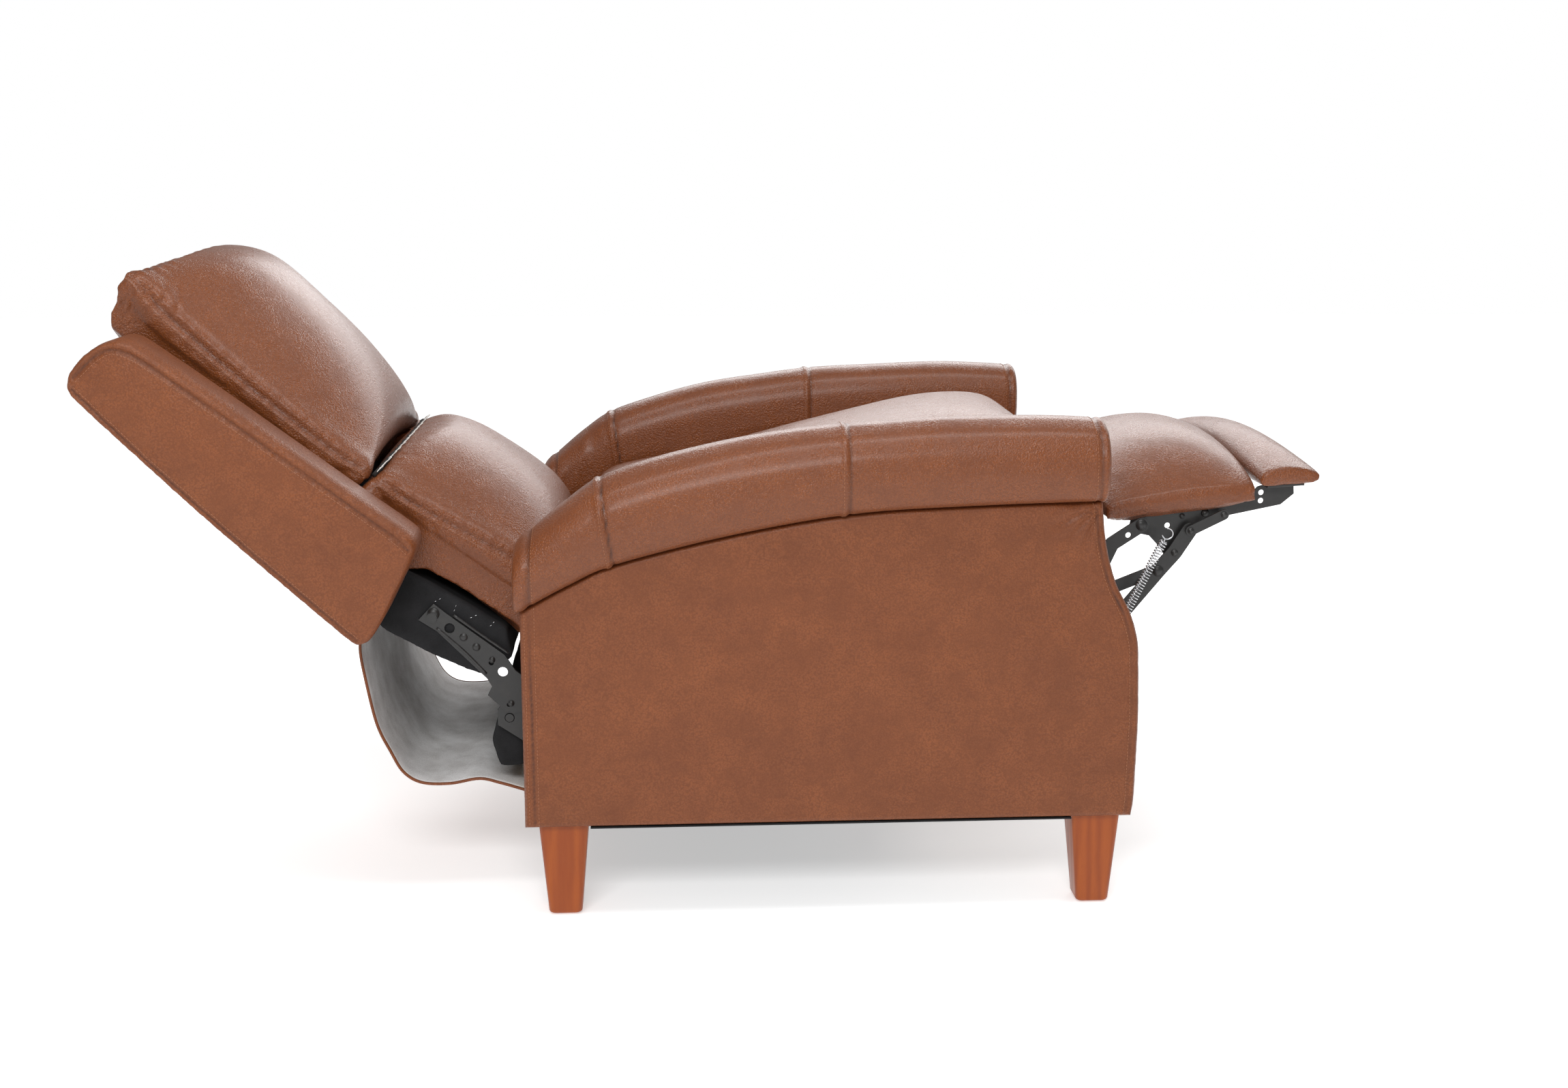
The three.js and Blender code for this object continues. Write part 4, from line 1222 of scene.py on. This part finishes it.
for side in (-1, 1):
    wing = padded_board(
        f"wing_cover_{side_name(side)}", wing_grid, side * WING_INNER, side * WING_OUTER,
        lambda a, b: 7.0 + 9.0 * np.clip((b - 0.7) / 0.3, 0, 1),
        lambda a, b: 4.0 * np.sin(math.pi * a) ** 0.5 * np.sin(math.pi * np.clip(b, 0, 1)) + 0 * a,
        14, panel_leather,
    )
    outer_y = side * WING_OUTER
    welt = in_plane(back_line(wing_seam), outer_y)
    rear_seam = in_plane(back_line([(6, -3), (130, -8), (300, -8), (476, -3)]), outer_y)
    # The front band is a soft roll between the welt and the edge.
    points = coordinates(wing)
    away, _ = nearest_on_line(points, in_plane(inset(back_line(wing_seam), 9.0), outer_y))
    points[:, 1] += side * 3.2 * np.exp(-(away / 7.0) ** 2)
    set_coordinates(wing, points)
    sew(wing, [welt, rear_seam], depth=3.2, width=3.2, pucker=0.7, reach=16.0, seed=51)
    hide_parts(f"wing_{side_name(side)}")
    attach(wing, "back")
    surface = surface_of(wing)
    lines = [
        laid_on(surface, in_plane(evenly(inset(back_line(wing_seam), -5.5), 200), outer_y)),
        laid_on(surface, in_plane(
            evenly(back_line([(8, 1.5), (130, -3.5), (300, -3.5), (474, 1)]), 200), outer_y)),
    ]
    wing_stitches = stitch(f"wing_stitches_{side_name(side)}", lines)
    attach(wing_stitches, "back")

# The outside back is one panel of leather with a stitched border.
outside_grid = coons(
    evenly([(4, -266), (488, -266)], 110), evenly([(4, 266), (488, 266)], 110),
    evenly([(4, -266), (4, 266)], 120), evenly([(488, -266), (488, 266)], 120),
)
outside = padded_board("outside_back_cover", outside_grid, 7.4, -6.0, lambda a, b: 3.0 + 0 * a,
                       lambda a, b: 1.8 + 0 * a, 4, panel_leather)
flat_points = coordinates(outside)
outside_x, outside_z = back_place(flat_points[:, 0], flat_points[:, 1])
set_coordinates(outside, np.column_stack([outside_x, flat_points[:, 2], outside_z]))
face_outwards(outside)


def on_back(points, out=0.0):
    """Points (down, across) on the rear face of the back."""
    points = np.asarray(points, float)
    x, z = back_place(points[:, 0], np.full(len(points), out))
    return np.column_stack([x, points[:, 1], z])


border = evenly([(14, -256), (14, 256), (478, 256), (478, -256), (14, -256)], 500)
sew(outside, [on_back(border, -6.0)], depth=1.2, width=4.0, pucker=0.3, reach=14.0, seed=61)
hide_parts("outside_back")
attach(outside, "back")
outside_surface = surface_of(outside)
inner_border = evenly([(20, -250), (20, 250), (472, 250), (472, -250), (20, -250)], 500)
outside_stitches = stitch("outside_back_stitches",
                          [laid_on(outside_surface, on_back(inner_border, -6.0))])
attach(outside_stitches, "back")

# The leather runs on over the top of the frame, under the head cushion.
TOP_FOLD = [(10, -6.5), (2, -6.5), (-4, -2), (-6, 14), (-6, 36), (-6, 58), (-2, 72), (8, 74),
            (9, 60), (8, 30), (10, 4)]
top_profile = evenly(smooth_line(TOP_FOLD, 8, closed=True), 72, closed=True)
top_rings = []
for y in np.linspace(-268, 268, 180):
    slack = 0.7 * ripple(np.array([y]), 33)[0]
    profile = back_line(top_profile + (slack * 0.6, 0))
    top_rings.append(np.column_stack([profile[:, 0], np.full(len(profile), y), profile[:, 1]]))
top_fold = lofted("back_top_cover", top_rings, panel_leather)
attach(top_fold, "back")

# The frame behind the cushions is a wooden box wrapped in black cloth, with staples along it.
back_wrap = wrapped("back_frame_wrap", "back_frame", 5.5, 1.6, 9)
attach(back_wrap, "back")
wrap_surface = surface_of(back_wrap)
STAPLE_PLACES = [(-474, 393), (-449, 383), (-498, 405), (-521, 416)]


def staple_wire(x, z, side, tilt):
    reach = 3.6
    dx, dz = reach * math.cos(tilt), reach * math.sin(tilt)
    return [(x - dx, side * 264, z - dz), (x, side * 264, z), (x + dx, side * 264, z + dz)]


staple_lines = []
for side in (-1, 1):
    for k, (x, z) in enumerate(STAPLE_PLACES):
        wire = staple_wire(x, z, side, 0.5 + 0.35 * (k % 3))
        staple_lines.append(laid_on(wrap_surface, evenly(wire, 5), 0.5))
staples = stitch("back_frame_staples", staple_lines, zinc_wire)
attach(staples, "back")

# ---- Back cushions ----------------------------------------------------------------------------
# Two fibre-filled cushions lie on the back: a deep head cushion with side borders, and a lumbar
# cushion. Both are zipped to the back in the gap between them.
HEAD_EDGE = [(-2, 60), (150, 68), (330, 68), (342, 108), (341, 150), (300, 144), (220, 136),
             (132, 130), (20, 128), (-50, 134), (-47, 98), (-32, 64)]
HEAD_CROWN = [(-6, 62), (150, 68), (330, 68), (340, 112), (328, 178), (290, 207), (215, 224),
              (130, 228), (25, 222), (-36, 172), (-54, 118), (-34, 66)]
HEAD_PUFF = 7.0
head, head_edge = crowned("head_cushion_cover", HEAD_EDGE, HEAD_CROWN, BACK_HALF - 3, back_place,
                          cushion_leather, power=2.7)
remesh(head, 5.0, 3)
head_seams = edge_lines(head_edge, BACK_HALF - 3, back_place, 4, 9)
fill(head, head_seams, 8.0, 16.0)


def puff_sides(piece, half, seams, amount, spread):
    """Rounds out both side borders, and the top beside each seam, as tight stuffing does."""
    points = coordinates(piece)
    away = np.min([nearest_on_line(points, line)[0] for line in seams], axis=0)
    near = 1 - np.exp(-(away / 16.0) ** 2)
    beside = np.exp(-((away - spread) / spread) ** 2) * (np.abs(points[:, 1]) < half - 4)
    border = np.clip((np.abs(points[:, 1]) - half + 9) / 9, 0, 1)
    push = amount * near * border + 0.55 * amount * beside
    set_coordinates(piece, points + outward(piece) * push[:, None])


def crease(piece, middle, along, length, width, depth):
    """Presses one short fold into a piece."""
    points = coordinates(piece)
    along = np.asarray(along, float) / np.linalg.norm(along)
    offset = points - middle
    run = offset @ along
    across = np.linalg.norm(offset - run[:, None] * along, axis=1)
    fade = np.exp(-(run / length) ** 2)
    push = fade * (0.6 * depth * np.exp(-((across - 2.2 * width) / (1.4 * width)) ** 2)
                   - depth * np.exp(-(across / width) ** 2))
    set_coordinates(piece, points + outward(piece) * push[:, None])


def crumple(piece, middle, reach, amount, seed):
    """Loose, uneven wrinkles round one place."""
    points = coordinates(piece)
    rng = np.random.default_rng(seed)
    fade = np.exp(-(np.linalg.norm(points - middle, axis=1) / reach) ** 2)
    height = np.zeros(len(points))
    for _ in range(6):
        lean = rng.normal(size=3)
        lean /= np.linalg.norm(lean)
        wave = np.sin(points @ lean / rng.uniform(2.2, 4.6) + 2.0 * np.sin(points[:, 2] / 17))
        height += 1 - 2 * np.abs(wave)
    set_coordinates(piece, points + outward(piece) * (amount * fade * height / 3)[:, None])


def seam_fold(piece, side, first, last, inward, depth):
    """A short fold that runs in from a side seam, between two places (down, out) on the back."""
    x, z = back_place(*first)
    x_end, z_end = back_place(*last)
    start = np.array([x, side * (BACK_HALF - 8), z])
    end = np.array([x_end, side * (BACK_HALF - 8 - inward), z_end])
    crease(piece, (start + end) / 2, end - start, inward * 0.9, 3.0, depth)


def cross_line(edge, crown, index, half, place, power, steps=10):
    """A line over the width of a crowned cushion, at one point of its profile."""
    low = smooth_line(edge, steps, closed=True)[index * steps]
    high = smooth_line(crown, steps, closed=True)[index * steps]
    line = []
    for share in np.linspace(-1, 1, 160):
        u, v = low + (high - low) * (1 - abs(share) ** power)
        x, z = place(u, v)
        line.append((x, share * half, z))
    return np.array(line)


puff_sides(head, BACK_HALF - 3, head_seams, HEAD_PUFF, 17.0)
for side in (-1, 1):
    for down, out, reach, amount in ((-32, 104, 26, 2.1), (-12, 96, 22, 1.6), (-38, 122, 16, 1.5)):
        x, z = back_place(down, out)
        crumple(head, np.array([x, side * (BACK_HALF - 1), z]), reach, amount, 5 + int(out))
    for down, inward, lean in ((2, 14, -11), (24, 20, -15), (318, 18, 12)):
        seam_fold(head, side, (down, 138), (down + lean, 138 + 0.6 * inward), inward, 2.6)

head_top_seam = cross_line(HEAD_EDGE, HEAD_CROWN, 9, BACK_HALF - 3, back_place, 2.7)
# The top edge is gathered into many small pleats.
points = coordinates(head)
away, along = nearest_on_line(points, head_top_seam)
gathers = 0.9 * np.sin(along / 2.6 + 1.2 * np.sin(along / 23)) * np.exp(-(away / 20) ** 2)
set_coordinates(head, points + outward(head) * gathers[:, None])
sew(head, head_seams + [head_top_seam], depth=4.2, width=4.2, pucker=1.2, reach=20.0, seed=71)
subdivide(head)
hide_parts("back_cushion_upper")
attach(head, "back")

LUMBAR_EDGE = [(354, 68), (452, 68), (461, 93), (530, 114), (611, 127), (652, 137), (645, 188),
               (600, 205), (543, 196), (480, 180), (400, 160), (354, 148)]
LUMBAR_CROWN = [(356, 68), (452, 68), (461, 93), (530, 114), (611, 127), (658, 140), (646, 196),
                (600, 250), (545, 269), (460, 260), (390, 240), (350, 200)]
lumbar, lumbar_edge = crowned("lumbar_cushion_cover", LUMBAR_EDGE, LUMBAR_CROWN, BACK_HALF - 3,
                              back_place, cushion_leather, power=2.7)
remesh(lumbar, 5.0, 3)
lumbar_seams = edge_lines(lumbar_edge, BACK_HALF - 3, back_place, 6, 11)
fill(lumbar, lumbar_seams, 8.0, 16.0)
puff_sides(lumbar, BACK_HALF - 3, lumbar_seams, 6.0, 16.0)
for side in (-1, 1):
    x, z = back_place(376, 150)
    crumple(lumbar, np.array([x, side * (BACK_HALF - 6), z]), 22, 1.5, 23)
    for down, inward, lean in ((392, 14, 8), (410, 12, 9), (634, 14, -8)):
        seam_fold(lumbar, side, (down, 160), (down + lean, 166), inward, 2.2)
sew(lumbar, lumbar_seams, depth=4.2, width=4.0, pucker=1.0, reach=18.0, seed=91)
subdivide(lumbar)
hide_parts("back_cushion_lumbar")
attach(lumbar, "back")

cushion_lines = []
for cushion, seams, below, count in ((head, head_seams, 5.4, 160), (lumbar, lumbar_seams, 5.6, 120)):
    surface = surface_of(cushion)
    for line in seams:
        down = np.sign(line[0, 1]) * np.array([0, 3.0, 0]) + (-below, 0, -below)
        cushion_lines.append(laid_on(surface, evenly(line + down, count)))
cushion_stitches = stitch("back_cushion_stitches", cushion_lines)
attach(cushion_stitches, "back")

# A zip joins the two cushions; its tape and pale pull threads show in the gap.
zip_tape = cloth("zip_tape", (0.020, 0.018, 0.017), 1300.0, 0.4)
pull_thread = cloth("pull_thread", (0.62, 0.60, 0.57), 2400.0, 0.3)


def gap_line(out_low, out_rise, sway, seed, count=140):
    line = []
    for share in np.linspace(-0.97, 0.97, count):
        wave = ripple(np.array([share * 250.0]), seed)[0]
        out = out_low + out_rise * (1 - abs(share) ** 2.7) + sway * wave
        x, z = back_place(347.5 + 1.2 * wave, out)
        line.append((x, share * (BACK_HALF - 6), z))
    return np.array(line)


def wire_tube(name, line, radius, material, sides=8):
    """A round wire along a line of points in millimetres."""
    line = np.asarray(line, float)
    slope = np.gradient(line, axis=0)
    slope /= np.linalg.norm(slope, axis=1, keepdims=True)
    helper = np.array([0.3, 0.2, 1.0])
    rings = []
    for p, t in zip(line, slope):
        a = helper - t * (helper @ t)
        a /= np.linalg.norm(a)
        helper = a
        b = np.cross(t, a)
        rings.append([p + radius * (math.cos(q) * a + math.sin(q) * b)
                      for q in np.linspace(0, 2 * math.pi, sides, endpoint=False)])
    return lofted(name, rings, material)


tape = wire_tube("cushion_zip_tape", gap_line(150, 34, 1.0, 2), 2.9, zip_tape)
threads = [
    wire_tube(f"cushion_pull_thread_{k}", gap_line(152 + 4 * k, 35, 5.0, 7 + k), 0.6, pull_thread)
    for k in (1, 2)
]
for piece in [tape] + threads:
    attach(piece, "back")

# ---- Rear skirt -----------------------------------------------------------------------------------
# One sheet of leather hangs in a loop from the lower edge of the outside back to the base and closes the
# gap between them; it is built in one fixed shape that does not follow the back as it moves. Its suede
# side faces the mechanism.
SKIRT_LINE = [(-607, 371), (-616, 374), (-625, 366), (-628, 346), (-624, 312), (-611, 243), (-593, 201),
              (-577, 172), (-553, 157),
              (-515, 155), (-475, 161), (-446, 154), (-406, 141)]
SKIRT_HALF = 249.0
SKIRT_ROWS = 69
SKIRT_COLUMNS = 60
skirt_line = evenly(smooth_line(SKIRT_LINE, 12), SKIRT_ROWS + 1)


def skirt_column(s):
    """One line of the skirt from the back to the base, at a share s of its half width."""
    column = []
    for i, (x, z) in enumerate(skirt_line):
        hang = math.sin(math.pi * i / SKIRT_ROWS)
        wave = hang * (1.6 * math.sin(5.1 * s + i / 11) + 1.1 * math.sin(11 * s + i / 6))
        column.append((x - 0.4 * wave, s * SKIRT_HALF, z + wave * 0.5))
    return column


skirt_columns = [skirt_column(2 * k / SKIRT_COLUMNS - 1) for k in range(SKIRT_COLUMNS + 1)]
skirt_points = np.array(skirt_columns).transpose(1, 0, 2).reshape(-1, 3)
skirt = new_piece("rear_skirt_sheet", skirt_points, grid_faces(SKIRT_ROWS, SKIRT_COLUMNS, flip=True),
                  suede, panel_leather, panel_leather)
wall_mod = skirt.modifiers.new("thickness", "SOLIDIFY")
wall_mod.thickness = 0.0024
wall_mod.offset = 0
wall_mod.material_offset = 1
wall_mod.material_offset_rim = 2
finish_mesh(skirt)
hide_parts("rear_skirt")
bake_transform(skirt)
for side in (-1, 1):
    skirt_hem = wire_tube(f"rear_skirt_hem_{side_name(side)}", skirt_column(side), 2.1, panel_leather)
    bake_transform(skirt_hem)

# ---- Footrest pads ----------------------------------------------------------------------------------
# The main pad is a deep roll of foam on a plywood board; the extension pad is thinner and flips
# out in front of it. Both covers are pulled round the boards and gathered at the corners.
PAD_HALF = 250.0
PAD_ANGLE = math.radians(7.7)
PAD_ORIGIN = (392.0, 508.0)
FLIP_ANGLE = math.radians(3.3)
FLIP_ORIGIN = (598.0, 557.0)


def on_board(origin, angle):
    def place(u, v):
        return (origin[0] + u * math.cos(angle) - v * math.sin(angle),
                origin[1] + u * math.sin(angle) + v * math.cos(angle))
    return place


pad_place = on_board(PAD_ORIGIN, PAD_ANGLE)
flip_place = on_board(FLIP_ORIGIN, FLIP_ANGLE)
PAD_EDGE = [(2, 0.8), (100, 0.8), (194, 0.8), (202, 10), (199, 24), (143, 29), (72, 29),
            (4, 26), (-5, 12)]
PAD_CROWN = [(2, 0.8), (100, 0.8), (196, 0.8), (208, 22), (210, 56), (152, 88), (72, 92),
             (8, 68), (-6, 26)]
pad, pad_edge = crowned("footrest_pad_cover", PAD_EDGE, PAD_CROWN, PAD_HALF - 2, pad_place,
                        cushion_leather, power=2.8)
remesh(pad, 4.6, 3)
fill(pad, edge_lines(pad_edge, PAD_HALF - 2, pad_place, 2, 8), 5.0, 9.0)


def corner_pleats(piece, place, u, v, half, reach, folds, depth):
    """Radial folds where the cover is drawn round a corner of its board."""
    x, z = place(u, v)
    points = coordinates(piece)
    for side in (-1, 1):
        offset = points - (x, side * half, z)
        far = np.linalg.norm(offset, axis=1)
        turn = np.arctan2(offset[:, 2], offset[:, 0] - 0.8 * side * offset[:, 1])
        fold = np.sin(turn * folds + 0.6 * side) - 0.8 * np.abs(np.sin(turn * folds * 0.5))
        push = depth * fold * np.exp(-((far - reach) / (0.6 * reach)) ** 2)
        points += outward(piece) * push[:, None]
    set_coordinates(piece, points)


corner_pleats(pad, pad_place, 196, 0, PAD_HALF - 2, 20, 17, 1.8)
corner_pleats(pad, pad_place, 26, -4, PAD_HALF - 2, 20, 15, 1.5)
subdivide(pad)
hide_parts("footrest_pad", "footrest_board")
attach(pad, "ottoman")
FLIP_EDGE = [(3, 0.8), (36, 0.8), (72, 0.8), (83, 6), (82, 13), (64, 20), (36, 24), (8, 20),
             (1, 10)]
FLIP_CROWN = [(3, 0.8), (36, 0.8), (72, 0.8), (84, 12), (78, 29), (60, 42), (36, 46), (10, 38),
              (0, 18)]
flip, flip_edge = crowned("extension_pad_cover", FLIP_EDGE, FLIP_CROWN, PAD_HALF - 2, flip_place,
                          cushion_leather, power=2.1)
remesh(flip, 3.8, 2)
flip_seams = edge_lines(flip_edge, PAD_HALF - 2, flip_place, 3, 8)
fill(flip, flip_seams, 4.0, 9.0)
corner_pleats(flip, flip_place, 76, 2, PAD_HALF - 2, 12, 13, 1.2)
sew(flip, flip_seams, depth=1.6, width=2.6, pucker=0.5, reach=10.0, seed=111)
subdivide(flip)
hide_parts("extension_pad", "extension_board")
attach(flip, "flipper")

# ---- Footrest linkage and back brackets ---------------------------------------------------------
# Stamped steel links, black coated, turn on shouldered rivets with flat or domed heads. A zinc
# plated tension spring hooks onto the lift link and the ottoman plate on each side.
soften(0.45, *PLATES_AND_LINKS)

# A rivet head on each point: a flat flange with a low dome, looking along Y.
rivet_heads = geometry_tree(
    "rivet_heads",
    [("Places", "Geometry", None), ("Radius", "Float", 0.005), ("Height", "Float", 0.0016),
     ("Metal", "Material", None)],
    {
        "flange": ("GeometryNodeMeshCylinder", {"Vertices": 28, "Radius": 1.0, "Depth": 2.0}),
        "dome": ("GeometryNodeMeshUVSphere", {"Segments": 24, "Rings": 10, "Radius": 1.0}),
        "squeeze": ("GeometryNodeTransform", {"Scale": (0.8, 0.8, 1.9)}),
        "both": ("GeometryNodeJoinGeometry", {}),
        "place": ("GeometryNodeInstanceOnPoints", {"Rotation": (math.pi / 2, 0, 0)}),
        "size": ("ShaderNodeCombineXYZ", {}),
        **REALIZED,
    },
    [("flange.Mesh", "both.Geometry"), ("dome.Mesh", "squeeze.Geometry"),
     ("squeeze.Geometry", "both.Geometry"), ("given.Places", "place.Points"),
     ("both.Geometry", "place.Instance"), ("given.Radius", "size.X"), ("given.Radius", "size.Y"),
     ("given.Height", "size.Z"), ("size.Vector", "place.Scale"),
     ("place.Instances", "realize.Geometry")] + REALIZE_LINKS,
)


def rivet(name, body, places, radius, height, material):
    """Rivet heads at (x, |y|, z) on both sides of the chair, riding on one body."""
    points = to_metres([(x, side * y, z) for side in (-1, 1) for x, y, z in places])
    piece = mesh_object(name, points.tolist())
    run_tree(piece, rivet_heads, Radius=radius / 1000, Height=height / 1000, Metal=material)
    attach(piece, body)


LAYER_FACE = [254 - 5 * k for k in range(7)]     # outer face of each layer of links, from the panel in
rivet("lift_link_rivets", "lift_links", [(462, LAYER_FACE[3], 439)], 7.6, 1.5, black_steel)
rivet("front_pivot_rivets", "lift_links", [(484, LAYER_FACE[3], 464.5)], 4.8, 1.6, black_steel)
rivet("rear_link_rivets", "rear_links", [(435, LAYER_FACE[2], 505)], 8.0, 1.5, black_steel)
rivet("control_link_rivets", "control_links",
      [(504, LAYER_FACE[2], 496), (549.2, LAYER_FACE[2], 518)], 4.4, 1.5, black_steel)
rivet("ottoman_plate_rivets", "ottoman", [(495, LAYER_FACE[5], 514)], 3.8, 1.4, black_steel)
rivet("flip_pivot_rivets", "flipper", [(527, LAYER_FACE[5], 518)], 4.8, 1.6, black_steel)
rivet("knee_rivets", "drive_links", [(378, LAYER_FACE[1], 336)], 7.2, 0.8, black_steel)
rivet("drive_link_rivets", "drive_links", [(341.9, LAYER_FACE[1], 360.5)], 5.5, 0.8, black_steel)
rivet("bracket_rivets", "back", [(-450.7, 264, 333.2), (-426.8, 264, 271.8)], 4.2, 1.3, black_steel)
rivet("bracket_screw_heads", "back", [(-526.8, 264, 398.1)], 8.2, 1.5, black_steel)
rivet("bracket_bosses", "back", [(-487.8, 264, 365.2), (-471.2, 264, 351.3)], 5.4, 0.8, black_steel)
# Pressed ribs stiffen the back bracket along both edges.
BRACKET_RIBS = (((-523, 378.5), (-488, 346), (-459, 314)), ((-500, 396), (-462, 367), (-428, 342)))
for side in (-1, 1):
    for k, rib_points in enumerate(BRACKET_RIBS):
        rib = wire_tube(f"bracket_rib_{k + 1}_{side_name(side)}",
                        in_plane(smooth_line(rib_points, 8), side * 264.0), 1.9, black_steel)
        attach(rib, "back")
# A folded flange on the flip bracket carries the board of the extension pad.
for side in (-1, 1):
    flange_rings = []
    for y in (224.0, 224.6, 241.4, 242.0):
        trim = 0.5 if y in (224.0, 242.0) else 0.0
        corners = ((10 + trim, -3 + trim), (62 - trim, -3 + trim),
                   (62 - trim, 0.6 - trim), (10 + trim, 0.6 - trim))
        flange_rings.append([(*flip_place(u, v)[:1], side * y, flip_place(u, v)[1]) for u, v in corners])
    flange = lofted(f"flip_flange_{side_name(side)}", flange_rings, black_steel)
    flange.data.shade_flat()
    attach(flange, "flipper")


# A close-wound coil of wire along Z.
coil_spring = geometry_tree(
    "coil_spring",
    [("Turns", "Float", 32.0), ("Coil Radius", "Float", 0.0054), ("Wire Radius", "Float", 0.00085),
     ("Length", "Float", 0.13), ("Metal", "Material", None)],
    {
        "helix": ("GeometryNodeCurveSpiral", {"Resolution": 22}),
        "wire": ("GeometryNodeCurvePrimitiveCircle", {"Resolution": 8}),
        "tube": ("GeometryNodeCurveToMesh", {"Fill Caps": True}),
        **REALIZED,
    },
    [("given.Turns", "helix.Rotations"), ("given.Coil Radius", "helix.Start Radius"),
     ("given.Coil Radius", "helix.End Radius"), ("given.Length", "helix.Height"),
     ("given.Wire Radius", "wire.Radius"), ("helix.Curve", "tube.Curve"),
     ("wire.Curve", "tube.Profile Curve"), ("tube.Mesh", "realize.Geometry")] + REALIZE_LINKS,
)
SPRING_LOW = (404.0, 366.0)
SPRING_HIGH = (462.0, 486.0)
SPRING_Y = 260.6
SPRING_TURNS = 33.0

for side in (-1, 1):
    low = np.array([SPRING_LOW[0], side * SPRING_Y, SPRING_LOW[1]])
    high = np.array([SPRING_HIGH[0], side * SPRING_Y, SPRING_HIGH[1]])
    length = float(np.linalg.norm(high - low))
    coil = mesh_object(f"spring_coil_{side_name(side)}")
    run_tree(coil, coil_spring, Turns=SPRING_TURNS, Length=length / 1000, Metal=zinc_wire)
    aim = Vector(high - low).to_track_quat("Z", "Y").to_matrix().to_4x4()
    coil.data.transform(Matrix.Translation(Vector(to_metres(low))) @ aim)
    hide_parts(f"tension_spring_{side_name(side)}")
    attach(coil, "lift_links")
    along = (high - low) / length
    across = np.array([along[2], 0, -along[0]])
    hook = [high - along * 1.0 + across * 5.2 * c for c in (1.0, 0.55, 0.1)]
    hook += [high + along * 3.0]
    centre = high + along * 11.0
    for t in np.linspace(-2.4, 2.1, 22):
        hook.append(centre + 7.4 * (math.cos(t) * across + math.sin(t) * along))
    hook_wire = wire_tube(f"spring_hook_{side_name(side)}", smooth_line(hook, 4), 0.95, zinc_wire)
    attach(hook_wire, "lift_links")
